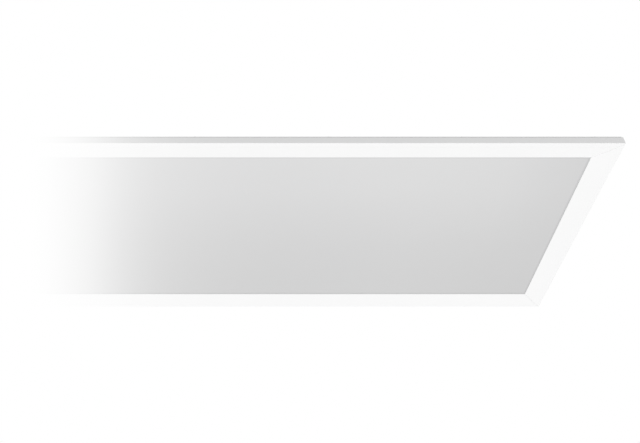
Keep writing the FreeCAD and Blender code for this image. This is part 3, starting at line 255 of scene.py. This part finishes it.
# name, base color, roughness
for entry in (
    ("key_zinc", (0.60, 0.62, 0.64), 0.40),
    ("screw_zinc", (0.72, 0.73, 0.75), 0.22),
    ("clip_spring_steel", (0.58, 0.60, 0.63), 0.36),
    ("bracket_zinc", (0.62, 0.63, 0.65), 0.38),
    ("rivet_aluminium", (0.78, 0.79, 0.80), 0.32),
    ("heat_sink_aluminium", (0.74, 0.75, 0.76), 0.35),
    ("nut_zinc", (0.70, 0.70, 0.70), 0.25),
    ("stud_copper_steel", (0.72, 0.53, 0.38), 0.30),
    ("pin_steel", (0.78, 0.78, 0.79), 0.14),
):
    plated(*entry)


@material
def opal_diffuser(mat):
    """Milky acrylic with a satin skin; its brightness is painted in."""
    x, y, _ = mat.xyz()
    sheet_lo, sheet_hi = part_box("diffuser_sheet")
    lip_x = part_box("frame_profile_right")[0][0]
    lip_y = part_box("frame_profile_rear")[0][1]
    # painted light and shade: the sheet's colour runs from brighter at the front to darker at the
    # rear
    # (place from front to rear, brightness)
    stops = (
        (0.07, 0.684), (0.22, 0.674), (0.38, 0.648), (0.56, 0.620),
        (0.76, 0.602), (0.87, 0.596), (1.0, 0.590),
    )
    across = mat.map(y, 0.0, 1.0, sheet_lo[1], sheet_hi[1])
    painted_light_milk = mat.ramp(across, *((place, (v, v, v * 1.001)) for place, v in stops))
    # a little less light towards the right end, most of all in the front corner
    end = mat.map(x, 0.0, 0.040, lip_x - 0.16, lip_x)
    corner = mat.math(
        "MULTIPLY",
        mat.map(x, 0.0, 0.060, lip_x - 0.075, lip_x),
        mat.map(y, 1.0, 0.0, -lip_y, lip_y * 0.5),
    )
    # a hairline of shade under the lip
    gap = mat.math(
        "MINIMUM",
        mat.math("SUBTRACT", lip_x, mat.math("ABSOLUTE", x)),
        mat.math("SUBTRACT", lip_y, mat.math("ABSOLUTE", y)),
    )
    shade = mat.map(gap, 0.10, 0.0, 0.5 * MM, 2.6 * MM)
    # painted shade: the right end, the front corner and the hairline under the lip are darkened in
    # the colour
    painted_shade_sum = mat.math("ADD", mat.math("ADD", end, corner), shade)
    painted_light_milk = mat.mix(1.0, painted_light_milk, mat.grey(mat.math("SUBTRACT", 1.0, painted_shade_sum)), blend="MULTIPLY")
    cloud = mat.patches(0.0, 0.5, span=(0.35, 0.65), scale=5.0)
    color = mat.mix(cloud, painted_light_milk, mat.mix(1.0, painted_light_milk, (0.985, 0.985, 0.99), blend="MULTIPLY"))
    mat.grain(scale=1700.0, depth=12e-6)
    mat.bump(mat.voronoi(scale=2600.0), depth=4e-6)
    mat.finish(color, mat.patches(0.42, 0.50, scale=40.0))


@material
def clear_guide(mat):
    color = mat.mix(mat.noise(scale=30.0), (0.93, 0.97, 0.97), (0.90, 0.95, 0.96))
    mat.bump(mat.voronoi(scale=500.0), depth=1e-5)
    rough = mat.map(mat.noise(scale=90.0), 0.03, 0.10)
    mat.finish(color, rough, Transmission_Weight=0.9, IOR=1.49)


@material
def reflector_white(mat):
    color = mat.mix(mat.noise(scale=20.0), (0.95, 0.95, 0.95), (0.92, 0.92, 0.93))
    mat.grain(scale=400.0, depth=1e-5)
    mat.finish(color, mat.map(mat.noise(scale=60.0), 0.25, 0.40))


@material
def foam_white(mat):
    color = mat.mix(mat.voronoi(scale=420.0), (0.90, 0.90, 0.88), (0.74, 0.74, 0.72))
    mat.bump(mat.voronoi(scale=420.0), depth=4e-4)
    mat.finish(color, rough=0.95)


@material
def silicone_grey(mat):
    color = mat.mix(mat.noise(scale=80.0), (0.70, 0.71, 0.72), (0.60, 0.61, 0.63))
    mat.grain(scale=500.0, depth=4e-5)
    glow = (0.002, 0.002, 0.002)
    mat.finish(color, rough=0.45, Subsurface_Weight=0.2, Subsurface_Radius=glow)


@material
def tape_grey(mat):
    weave = mat.wave(scale=600.0, distort=2.0)
    mat.grain(scale=800.0, depth=3e-5)
    mat.finish(mat.mix(weave, (0.50, 0.52, 0.55), (0.42, 0.44, 0.47)), rough=0.6)


@material
def board_white(mat):
    pads = mat.math("GREATER_THAN", mat.wave(scale=26.0), 0.93)
    color = mat.mix(pads, (0.90, 0.90, 0.88), (0.75, 0.62, 0.35))
    mat.grain(scale=900.0, depth=1e-5)
    mat.finish(color, rough=0.4, metal=mat.math("MULTIPLY", pads, 0.8))


@material
def led_phosphor(mat):
    """A white case, with yellow phosphor on the faces that look along Y."""
    face = mat.math("GREATER_THAN", mat.math("ABSOLUTE", mat.facing()[1]), 0.8)
    phosphor = mat.mix(mat.noise(scale=3000.0), (0.92, 0.78, 0.14), (0.86, 0.66, 0.08))
    mat.grain(scale=4000.0, depth=2e-5)
    mat.finish(mat.mix(face, (0.90, 0.90, 0.88), phosphor), mat.map(face, 0.5, 0.22))


def wire_core(name, base):
    mat = Mat(name)
    color = mat.mix(mat.noise(scale=120.0), base, tint(base, 0.8))
    mat.grain(scale=700.0, depth=3e-5)
    mat.finish(color, rough=0.38)


wire_core("core_red", (0.60, 0.05, 0.04))
wire_core("core_black", (0.035, 0.035, 0.038))
wire_core("core_white", (0.84, 0.84, 0.82))


@material
def lead_jacket(mat):
    cloud = mat.noise(scale=45.0, detail=4.0)
    mat.grain(scale=180.0, detail=3.0, depth=16e-5)
    mat.grain(scale=1600.0, depth=2e-5)
    color = mat.mix(cloud, (0.83, 0.83, 0.81), (0.74, 0.735, 0.71))
    mat.finish(color, mat.map(mat.noise(scale=300.0), 0.36, 0.5))


@material
def grommet_black(mat):
    cloud = mat.noise(scale=300.0, detail=4.0)
    mat.grain(scale=1200.0, depth=4e-5)
    mat.finish(mat.mix(cloud, (0.022, 0.022, 0.023), (0.05, 0.05, 0.05)), rough=0.55)


@material
def earth_green_yellow(mat):
    """Slanting green and yellow stripes, and bare metal at the front end."""
    x, y, z = mat.xyz()
    metal = mat.math("LESS_THAN", y, -39.4 * MM)
    slant = mat.math("MULTIPLY", mat.math("ADD", y, z), 900.0)
    phase = mat.math("ADD", mat.math("MULTIPLY", x, 2400.0), slant)
    stripe = mat.math("GREATER_THAN", mat.math("SINE", phase), 0.1)
    color = mat.mix(stripe, (0.06, 0.36, 0.07), (0.80, 0.66, 0.05))
    color = mat.mix(metal, color, (0.74, 0.72, 0.68))
    mat.grain(scale=900.0, depth=3e-5)
    mat.finish(color, mat.map(metal, 0.42, 0.25), metal)


def moulded(name, base, rough, depth=2e-5, scale=1900.0):
    """Moulded plastic with a spark-eroded skin and paler worn edges."""
    mat = Mat(name)
    color = mat.mix(mat.patches(scale=38.0, detail=3.0), base, tint(base, 0.96))
    edge = mat.map(mat.node("NewGeometry").outputs["Pointiness"], 0.0, 1.0, 0.52, 0.60)
    color = mat.mix(mat.math("MULTIPLY", edge, 0.10), color, tint(base, 1.12))
    mat.bump(mat.voronoi(scale), depth)
    mat.grain(scale=210.0, depth=depth * 0.6)
    mat.finish(color, mat.patches(rough - 0.07, rough + 0.08, scale=420.0))


# name, base color, roughness, then the skin's depth and scale where they differ
for entry in (
    ("driver_case_white", (0.80, 0.80, 0.785), 0.46),
    ("bush_grey", (0.10, 0.105, 0.11), 0.5),
    ("terminal_grey", (0.42, 0.43, 0.44), 0.42),
    ("clamp_grey", (0.26, 0.265, 0.275), 0.45),
    ("button_orange", (0.86, 0.20, 0.02), 0.30, 1e-5),
    ("selector_red", (0.52, 0.03, 0.03), 0.35, 1e-5),
    ("lever_white", (0.88, 0.88, 0.86), 0.35, 1e-5),
    ("connector_white", (0.80, 0.80, 0.78), 0.42),
    ("transistor_epoxy", (0.02, 0.02, 0.022), 0.4),
    ("film_capacitor_box", (0.75, 0.50, 0.04), 0.28, 1e-5),
    ("ferrite", (0.05, 0.05, 0.055), 0.62, 5e-5, 700.0),
):
    moulded(*entry)


@material
def circuit_board_green(mat):
    """Solder mask over copper runs on a grid, with tinned pads."""
    x, y, _ = mat.xyz()
    grid = 1.6 * MM
    column = mat.math("DIVIDE", x, grid)
    row = mat.math("DIVIDE", y, grid)

    def off_centre(cell):
        return mat.math("ABSOLUTE", mat.math("SUBTRACT", mat.math("FRACT", cell), 0.5))

    def pair(first, second):
        return mat.node("CombineXYZ", first, second).outputs[0]

    def runs(offset, place, cutoff):
        """Tracks along cell centres, broken where the noise is under the cutoff."""
        broken = mat.noise(scale=1.0, detail=0.0, vector=place)
        track = mat.math("LESS_THAN", offset, 0.20)
        return mat.math("MULTIPLY", track, mat.math("GREATER_THAN", broken, cutoff))

    off_x, off_y = off_centre(column), off_centre(row)
    column_id, row_id = mat.math("FLOOR", column), mat.math("FLOOR", row)
    place = pair(mat.math("MULTIPLY", column, 0.12), mat.math("MULTIPLY", row_id, 3.7))
    along = runs(off_y, place, cutoff=0.50)
    place = pair(mat.math("MULTIPLY", column_id, 4.3), mat.math("MULTIPLY", row, 0.14))
    run = mat.math("MAXIMUM", along, runs(off_x, place, cutoff=0.56))

    squares = mat.math("MULTIPLY", off_x, off_x), mat.math("MULTIPLY", off_y, off_y)
    radius = mat.math("SQRT", mat.math("ADD", *squares))
    cell = mat.node(
        "TexWhiteNoise", settings={"noise_dimensions": "2D"}, Vector=pair(column_id, row_id)
    )
    chosen = mat.math("GREATER_THAN", cell.outputs["Value"], 0.90)
    pad = mat.math("MULTIPLY", mat.math("LESS_THAN", radius, 0.34), chosen)
    hole = mat.math("MULTIPLY", mat.math("LESS_THAN", radius, 0.13), chosen)

    color = mat.mix(run, (0.018, 0.135, 0.050), (0.050, 0.245, 0.085))
    color = mat.mix(pad, color, (0.66, 0.66, 0.63))
    color = mat.mix(hole, color, (0.02, 0.02, 0.02))
    dirt = mat.patches(0.0, 0.25, span=(0.4, 0.7), scale=90.0, detail=3.0)
    color = mat.mix(dirt, color, mat.mix(1.0, color, (0.86, 0.88, 0.84), blend="MULTIPLY"))
    mat.bump(mat.math("MAXIMUM", run, pad), depth=3e-5)
    mat.finish(color, mat.map(pad, 0.30, 0.22), metal=mat.math("SUBTRACT", pad, hole))


@material
def winding_tape(mat):
    turns = {"scale": 160.0, "axis": "Z", "distort": 0.6}
    color = mat.mix(mat.wave(**turns), (0.82, 0.66, 0.06), (0.70, 0.52, 0.04))
    mat.bump(mat.wave(**turns), depth=1e-4)
    mat.finish(color, rough=0.30, Coat_Weight=0.4, Coat_Roughness=0.1)


@material
def choke_copper(mat):
    """46 turns of wire around the choke's centre."""
    x, y, _ = mat.xyz()
    x = mat.math("ADD", x, 26.0 * MM)
    y = mat.math("SUBTRACT", y, 10.0 * MM)
    turns = mat.math("SINE", mat.math("MULTIPLY", mat.math("ARCTAN2", y, x), 46.0))
    # painted shade: the colour darkens into the grooves between turns
    color = mat.mix(mat.map(turns, 0.0, 1.0, -1.0, 1.0), (0.22, 0.07, 0.02), (0.80, 0.36, 0.14))
    mat.bump(turns, depth=3e-4)
    mat.finish(color, rough=0.28, metal=0.85)


@material
def capacitor_sleeve(mat):
    """A near-black sleeve with a bare metal top."""
    top = mat.math("GREATER_THAN", mat.xyz()[2], 35.1 * MM)
    color = mat.mix(mat.noise(scale=60.0), (0.012, 0.014, 0.03), (0.02, 0.024, 0.05))
    color = mat.mix(top, color, (0.72, 0.73, 0.74))
    mat.grain(scale=300.0, depth=3e-5)
    mat.finish(color, mat.map(top, 0.25, 0.3), metal=mat.math("MULTIPLY", top, 0.95))


@material
def fuse_glass(mat):
    """Glass with a metal cap at each end along Y."""
    cap = mat.math("GREATER_THAN", mat.math("ABSOLUTE", mat.xyz()[1]), 2.7 * MM)
    glass = mat.mix(mat.noise(scale=200.0), (0.55, 0.60, 0.58), (0.70, 0.74, 0.72))
    mat.grain(scale=800.0, depth=1e-5)
    mat.finish(mat.mix(cap, glass, (0.76, 0.75, 0.72)), rough=0.12, metal=cap)


@material
def label_stock(mat):
    """Blank silver plate with a printed border and one ruling."""
    x, y, _ = mat.xyz()
    from_centre = mat.math("ABSOLUTE", mat.math("SUBTRACT", x, PLATE_X))
    inset = mat.math(
        "MINIMUM",
        mat.math("SUBTRACT", BORDER_HALF_X, from_centre),
        mat.math("SUBTRACT", BORDER_HALF_Y, mat.math("ABSOLUTE", y)),
    )
    border = mat.math("LESS_THAN", mat.math("ABSOLUTE", inset), 0.22 * MM)
    inside = mat.math("GREATER_THAN", inset, 0.0)
    from_rule = mat.math("ABSOLUTE", mat.math("SUBTRACT", y, 6.2 * MM))
    rule = mat.math("MULTIPLY", mat.math("LESS_THAN", from_rule, 0.14 * MM), inside)
    cloud = mat.noise(scale=24.0, detail=3.0)
    color = mat.mix(cloud, (0.60, 0.605, 0.615), (0.56, 0.565, 0.575))
    brushed = mat.patches(0.0, 0.4, span=(0.4, 0.7), scale=900.0, vector=mat.stretched(x=0.03))
    color = mat.mix(brushed, color, (0.66, 0.665, 0.67))
    color = mat.mix(mat.math("MAXIMUM", border, rule), color, (0.16, 0.16, 0.17))
    mat.grain(scale=500.0, depth=6e-6)
    mat.finish(color, mat.map(mat.noise(scale=90.0), 0.45, 0.55), metal=0.15)


@material
def floor(mat):
    """Pale, running out into the white backdrop, and clear when seen from underneath."""
    x, y, _ = mat.xyz()
    squares = mat.math("MULTIPLY", x, x), mat.math("MULTIPLY", y, y)
    distance = mat.math("SQRT", mat.math("ADD", *squares))
    color = mat.mix(mat.noise(scale=3.0), (0.50, 0.50, 0.50), (0.485, 0.485, 0.49))
    mat.grain(scale=300.0, depth=1e-4)
    near = mat.principled(
        color, rough=0.8, Emission_Color=(1.0, 1.0, 1.0), Emission_Strength=0.44,
        Specular_IOR_Level=0.1,
    )
    far = mat.node("Emission").outputs[0]
    above = mat.mix_shader(mat.map(distance, 0.0, 1.0, 1.2, 4.5), near, far)
    clear = mat.node("BsdfTransparent").outputs[0]
    underneath = mat.node("NewGeometry").outputs["Backfacing"]
    mat.surface(mat.mix_shader(underneath, above, clear))


# ------------------------------------------------------------------ edges and shading
def smooth_group():
    """A node group that shades smooth except at sharp edges, and its angle input's key."""
    group = bpy.data.node_groups.new("smooth_by_angle", "GeometryNodeTree")
    sockets = group.interface
    sockets.new_socket("Geometry", in_out="INPUT", socket_type="NodeSocketGeometry")
    angle_key = sockets.new_socket(
        "Angle", in_out="INPUT", socket_type="NodeSocketFloat"
    ).identifier
    sockets.new_socket("Geometry", in_out="OUTPUT", socket_type="NodeSocketGeometry")
    new, link = group.nodes.new, group.links.new
    start = new("NodeGroupInput")
    end = new("NodeGroupOutput")
    whole = new("GeometryNodeSetShadeSmooth")
    whole.domain = "FACE"
    sharp = new("GeometryNodeSetShadeSmooth")
    sharp.domain = "EDGE"
    angle = new("GeometryNodeInputMeshEdgeAngle")
    less = new("FunctionNodeCompare")
    less.data_type = "FLOAT"
    less.operation = "LESS_EQUAL"
    link(start.outputs[0], whole.inputs[0])
    link(whole.outputs[0], sharp.inputs[0])
    link(angle.outputs[0], less.inputs[0])
    link(start.outputs[1], less.inputs[1])
    link(less.outputs[0], sharp.inputs["Shade Smooth"])
    link(sharp.outputs[0], end.inputs[0])
    return group, angle_key


SMOOTH, ANGLE_KEY = smooth_group()


def finish_normals(obj):
    smooth = obj.modifiers.new("smooth", "NODES")
    smooth.node_group = SMOOTH
    smooth[ANGLE_KEY] = math.radians(35.0)
    normals = obj.modifiers.new("normals", "WEIGHTED_NORMAL")
    normals.mode = "FACE_AREA"
    normals.weight = 100
    normals.keep_sharp = True


def soften(obj, width):
    """Rounds a CAD node's edges with modifiers and keeps its flats flat; its own mesh stays."""
    attributes = obj.data.attributes
    for name in ("custom_normal", "sharp_edge", "sharp_face"):
        if name in attributes:
            attributes.remove(attributes[name])
    obj.modifiers.new("weld", "WELD").merge_threshold = 1e-6
    if width > 0:
        flat = obj.modifiers.new("flat", "DECIMATE")
        flat.decimate_type = "DISSOLVE"
        flat.angle_limit = math.radians(0.5)
        bevel = obj.modifiers.new("round", "BEVEL")
        bevel.width = width
        bevel.segments = 2
        bevel.limit_method = "ANGLE"
        bevel.angle_limit = math.radians(30.0)
        bevel.use_clamp_overlap = True
        bevel.miter_outer = "MITER_ARC"
        obj.modifiers.new("tidy", "WELD").merge_threshold = 1e-6
    finish_normals(obj)


# edge width in metres: the nodes that get it
EDGE_WIDTHS = {
    0.00006: "frame_profile_front frame_profile_rear frame_profile_left frame_profile_right",
    0.00015: "selector_lever_1 selector_lever_2 selector_lever_3",
    0.0002: "selector_switch_body power_transistor heat_sink",
    0.00025: "back_plate",
    0.0003: "swivel_clip_front_left swivel_clip_front_right swivel_clip_rear_left "
            "swivel_clip_rear_right mains_terminal_block release_button_live "
            "release_button_neutral release_button_earth",
    0.0004: "suspension_brackets transformer_core",
    0.0005: "transformer_winding",
    0.0006: "driver_tray cable_clamp_bar film_capacitor",
    0.0008: "driver_lid terminal_cover",
}
WIDTH_OF = {name: width for width, names in EDGE_WIDTHS.items() for name in names.split()}
SLOT_OF = {part["node"]: part["material_slot"] for part in frame["record"]["subparts"]}

for name, obj in NODES.items():
    obj.data.materials.clear()
    obj.data.materials.append(MATERIALS[SLOT_OF[name]])
    soften(obj, WIDTH_OF.get(name, 0.0))


# ------------------------------------------------------------------ mesh helpers
def mesh_object(name, verts, faces, material_name):
    mesh = bpy.data.meshes.new(name)
    mesh.from_pydata(verts, [], faces)
    mesh.materials.append(MATERIALS[material_name])
    obj = bpy.data.objects.new(name, mesh)
    scene.collection.objects.link(obj)
    return obj


def add_piece(name, shells, slot, rides="panel", material_name=None, replaces=None):
    """Joins closed (verts, faces) shells into one piece and hangs it on its body."""
    verts, faces = [], []
    for shell_verts, shell_faces in shells:
        start = len(verts)
        verts += shell_verts
        faces += [tuple(i + start for i in face) for face in shell_faces]
    piece = mesh_object(name, verts, faces, material_name or slot)
    bm = bmesh.new()
    bm.from_mesh(piece.data)
    bmesh.ops.remove_doubles(bm, verts=bm.verts, dist=1e-7)
    bmesh.ops.dissolve_degenerate(bm, edges=bm.edges, dist=1e-8)
    bmesh.ops.recalc_face_normals(bm, faces=bm.faces)
    bm.to_mesh(piece.data)
    bm.free()
    finish_normals(piece)
    if replaces:
        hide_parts(replaces)
    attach(piece, rides)


def islands(name):
    """The (low, high) boxes of a node's separate solids."""
    bm = bmesh.new()
    bm.from_mesh(NODES[name].data)
    bmesh.ops.remove_doubles(bm, verts=bm.verts, dist=1e-6)
    seen, boxes = set(), []
    for first in bm.verts:
        if first in seen:
            continue
        stack, points = [first], []
        seen.add(first)
        while stack:
            vert = stack.pop()
            points.append(vert.co.copy())
            for edge in vert.link_edges:
                other = edge.other_vert(vert)
                if other not in seen:
                    seen.add(other)
                    stack.append(other)
        axes = list(zip(*points))
        boxes.append((Vector([min(axis) for axis in axes]), Vector([max(axis) for axis in axes])))
    bm.free()
    return sorted(boxes, key=lambda box: tuple(round(c, 5) for c in box[0]))


def spun(profile, at, segments, axis="Z"):
    """Turns a closed (radius, height) outline in mm around an axis into a closed shell."""
    verts, faces, count = [], [], len(profile)
    for k in range(segments):
        turn = 2 * math.pi * k / segments
        for radius, height in profile:
            a, b = radius * MM * math.cos(turn), radius * MM * math.sin(turn)
            h = height * MM
            offset = (h, a, b) if axis == "X" else (a, b, h)
            verts.append(tuple(c + d for c, d in zip(at, offset)))
    for k in range(segments):
        here, there = k * count, (k + 1) % segments * count
        for j in range(count):
            after = (j + 1) % count
            faces.append((here + j, there + j, there + after, here + after))
    return verts, faces


def lofted(rings):
    """Joins equal rings of points, from the bottom up, and caps both ends."""
    count = len(rings[0])
    verts = [point for ring in rings for point in ring]
    faces = []
    for start in range(0, len(verts) - count, count):
        for k in range(count):
            a, b = start + k, start + (k + 1) % count
            faces.append((a, b, b + count, a + count))
    faces.append(tuple(range(count))[::-1])
    faces.append(tuple(range(len(verts) - count, len(verts))))
    return verts, faces


def threaded(at, radius, height, pitch, depth, around=28, per_turn=6):
    """A stud with a helical thread, a plain foot and a chamfered tip."""
    chamfer_height, chamfer_depth = 0.6 * MM, 0.5 * MM
    rows = int(round(height / pitch * per_turn))
    rings = []
    for row in range(rows + 1):
        z = height * row / rows
        start = min(1.0, z / (1.5 * pitch))
        tip = max(0.0, (z - (height - chamfer_height)) / chamfer_height)
        ring = []
        for k in range(around):
            turn = 2 * math.pi * k / around
            ridge = 1.0 - abs(2.0 * ((z / pitch - k / around) % 1.0) - 1.0)
            r = radius - depth * start * (1.0 - ridge) ** 0.8 - chamfer_depth * tip
            ring.append((at[0] + r * math.cos(turn), at[1] + r * math.sin(turn), at[2] + z))
        rings.append(ring)
    return lofted(rings)


def rounded_slab(low, high, radius, lip):
    """A slab with round corners and a softened upper edge."""
    left, right = low[0] + radius, high[0] - radius
    front, rear = low[1] + radius, high[1] - radius
    corners = ((right, rear, 0), (left, rear, 90), (left, front, 180), (right, front, 270))
    corner_steps, lip_steps = 6, 4

    def ring(inset, z):
        r = max(radius - inset, 1e-5)
        points = []
        for x, y, first in corners:
            for k in range(corner_steps + 1):
                turn = math.radians(first + 90.0 * k / corner_steps)
                points.append((x + r * math.cos(turn), y + r * math.sin(turn), z))
        return points

    rings = [ring(0, low[2])]
    for k in range(lip_steps + 1):
        turn = math.pi / 2 * k / lip_steps
        rings.append(ring(lip * (1 - math.cos(turn)), high[2] - lip + lip * math.sin(turn)))
    return lofted(rings)


# ------------------------------------------------------------------ pieces on the back
def stud_threads():
    studs = []
    for low, high in islands("weld_studs"):
        foot = ((low[0] + high[0]) / 2, (low[1] + high[1]) / 2, low[2])
        studs.append(threaded(
            foot, radius=(high[0] - low[0]) / 2, height=high[2] - low[2],
            pitch=0.5 * MM, depth=0.27 * MM,
        ))
    add_piece("weld_stud_threads", studs, "stud_copper_steel", replaces="weld_studs")


def rating_plate():
    """A blank plate in the lid's recess."""
    plate = rounded_slab(
        (PLATE_X - PLATE_HALF_X, -PLATE_HALF_Y, LID_HI[2] - 0.49 * MM),
        (PLATE_X + PLATE_HALF_X, PLATE_HALF_Y, LID_HI[2] - 0.30 * MM),
        radius=2.0 * MM, lip=0.06 * MM,
    )
    add_piece("rating_plate", [plate], "driver_case_white", material_name="label_stock")


def cover_grip():
    """Five ridges across the left end of the terminal cover."""
    first, pitch, half_x, half_y = 4.6 * MM, 2.0 * MM, 0.5 * MM, 8.0 * MM
    cover_lo, cover_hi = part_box("terminal_cover")
    ridges = []
    for k in range(5):
        x = cover_lo[0] + first + pitch * k
        ridges.append(rounded_slab(
            (x - half_x, -half_y, cover_hi[2] - 0.1 * MM),
            (x + half_x, half_y, cover_hi[2] + 0.45 * MM),
            radius=0.499 * MM, lip=0.4 * MM,
        ))
    add_piece("cover_grip", ridges, "driver_case_white", rides="cover")


def lead_boot():
    """A ribbed, tapering boot where the low-voltage lead leaves the driver."""
    lead_radius = 2.5
    bore = lead_radius + 0.02
    # (radius, distance from the tray) in mm: the flange, the ribs, then the tip
    profile = [(bore, -0.6), (5.2, -0.6), (5.2, 0.9), (4.9, 1.2)]
    height = 1.2
    for k in range(4):
        rib = 4.5 - 0.42 * k
        groove = rib - 0.75
        profile += [
            (groove, height + 0.15), (groove, height + 0.85),
            (rib, height + 1.05), (rib - 0.05, height + 1.85),
        ]
        height += 2.0
    profile += [(3.0, height + 0.1), (bore + 0.12, height + 0.5), (bore, height + 0.5)]
    lead_lo, lead_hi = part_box("output_lead")
    at = (
        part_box("driver_tray")[1][0],
        lead_lo[1] + lead_radius * MM,
        lead_hi[2] - lead_radius * MM,
    )
    add_piece("lead_boot", [spun(profile, at, segments=40, axis="X")], "bush_grey")


def bracket_welds():
    """Spot-weld marks on the brackets' feet: a ring and a dimple each."""
    # (radius, height) in mm
    profile = (
        (0.0, -0.3), (2.3, -0.3), (2.3, 0.04), (2.0, 0.12),
        (1.6, 0.12), (1.3, 0.04), (0.6, 0.02), (0.0, 0.02),
    )
    end_inset, foot_height = 4.0 * MM, 1.2 * MM
    marks = []
    for low, high in islands("suspension_brackets"):
        for x in (low[0] + end_inset, high[0] - end_inset):
            at = (x, (low[1] + high[1]) / 2, low[2] + foot_height)
            marks.append(spun(profile, at, segments=24))
    add_piece("bracket_welds", marks, "bracket_zinc")


stud_threads()
rating_plate()
cover_grip()
lead_boot()
bracket_welds()


# ------------------------------------------------------------------ stage
def hide_from(obj, *rays):
    for ray in rays:
        setattr(obj, "visible_" + ray, False)


def add_floor():
    half, z = 30.0, CAD_LO[2] - 0.52
    corners = [(-half, -half, z), (half, -half, z), (half, half, z), (-half, half, z)]
    ground = mesh_object("floor", corners, [(0, 1, 2, 3)], "floor")
    hide_from(ground, "diffuse", "glossy", "transmission")


def add_world():
    """Lights the panel mostly from below, and looks white to the camera."""
    world = bpy.data.worlds.new("studio")
    scene.world = world
    sky = Nodes(world)
    upward = sky.xyz(sky.node("TexCoord").outputs["Generated"])[2]
    # (straight down 0 to straight up 1, brightness)
    stops = ((0.0, 1.0), (0.42, 0.92), (0.62, 0.45), (1.0, (0.27, 0.27, 0.275)))
    tone = sky.ramp(sky.map(upward, 0.0, 1.0, -1.0, 1.0), *stops)
    lighting = sky.node("Background", Color=tone, Strength=1.17).outputs[0]
    backdrop = sky.node("Background", Color=(1.0, 1.0, 1.0)).outputs[0]
    seen = sky.node("LightPath").outputs["Is Camera Ray"]
    sky.node("OutputWorld", sky.mix_shader(seen, lighting, backdrop))


def add_light(name, offset, size, power):
    """A square area light, placed from the panel's centre and aimed at it."""
    centre = (CAD_LO + CAD_HI) / 2
    place = centre + Vector(offset)
    light = bpy.data.lights.new(name, "AREA")
    light.energy = power
    light.shape = "RECTANGLE"
    light.size = light.size_y = size
    obj = bpy.data.objects.new(name, light)
    obj.location = place
    obj.rotation_mode = "QUATERNION"
    obj.rotation_quaternion = (centre - place).to_track_quat("-Z", "Y")
    scene.collection.objects.link(obj)


add_floor()
add_world()
add_light("top_key", offset=(-1.25, 1.15, 1.9), size=0.8, power=40.0)
add_light("top_fill", offset=(1.7, 0.5, 1.8), size=2.0, power=9.0)


# ------------------------------------------------------------------ camera
def add_camera():
    """Below the right end and in front of it, looking up and to the rear."""
    data = bpy.data.cameras.new("camera")
    data.sensor_width = 36.0
    data.lens = 34.36875
    data.clip_start = 0.02
    data.clip_end = 100.0
    camera = bpy.data.objects.new("camera", data)
    scene.collection.objects.link(camera)
    camera.location = (CAD_HI[0] - 0.2879, CAD_LO[1] - 0.4004, CAD_LO[2] - 0.4192)
    pitch = math.radians(39.016)
    look = Vector((0.0, math.cos(pitch), math.sin(pitch)))
    camera.rotation_mode = "QUATERNION"
    camera.rotation_quaternion = look.to_track_quat("-Z", "Y")
    scene.camera = camera
    return camera, look


camera, look = add_camera()
CARD_DISTANCE = 0.05
LENS_RATIO = camera.data.lens / camera.data.sensor_width

# (left edge of the view 0 to its middle 1, whiteness)
VEIL = (
    (0.0, 1.0), (0.09375, 1.0), (0.14375, 0.97), (0.1875, 0.91),
    (0.2375, 0.82), (0.2875, 0.70), (0.3375, 0.545), (0.3875, 0.395),
    (0.4375, 0.28), (0.4875, 0.19), (0.5375, 0.13), (0.5875, 0.09),
    (0.64375, 0.055), (0.7, 0.03), (0.78125, 0.01), (0.8625, 0.0),
)


@material
def fade_card(mat):
    """Painted glow: white emission at the left of the view, thinning to clear; only rays that start
    close see it.
    """
    across = mat.math("MULTIPLY", mat.xyz()[0], LENS_RATIO / CARD_DISTANCE)
    across = mat.math("ADD", across, 0.5)
    veil = mat.ramp(mat.map(across, 0.0, 1.0, 0.0, 0.5), *VEIL)
    speckle = mat.map(mat.noise(scale=900.0), 0.0, 0.004)
    near = mat.math("LESS_THAN", mat.node("LightPath").outputs["Ray Length"], 0.09)
    veil = mat.math("ADD", veil, mat.math("MULTIPLY", speckle, veil))
    amount = mat.math("MULTIPLY", near, mat.math("MINIMUM", 1.0, veil))
    clear = mat.node("BsdfTransparent").outputs[0]
    white = mat.node("Emission").outputs[0]
    mat.surface(mat.mix_shader(amount, clear, white))


def add_fade_card():
    """A card just in front of the camera: the panel's left end runs out into the white."""
    half = CARD_DISTANCE * 0.5 / LENS_RATIO * 1.1
    inner = -half * 0.1
    corners = [(-half, -half, 0), (inner, -half, 0), (inner, half, 0), (-half, half, 0)]
    card = mesh_object("fade_card", corners, [(0, 1, 2, 3)], "fade_card")
    place = camera.location + look * CARD_DISTANCE
    card.matrix_world = Matrix.LocRotScale(place, camera.rotation_quaternion, None)
    hide_from(card, "diffuse", "glossy", "transmission", "shadow", "volume_scatter")


add_fade_card()

scene.view_settings.view_transform = "Standard"
scene.view_settings.look = "None"
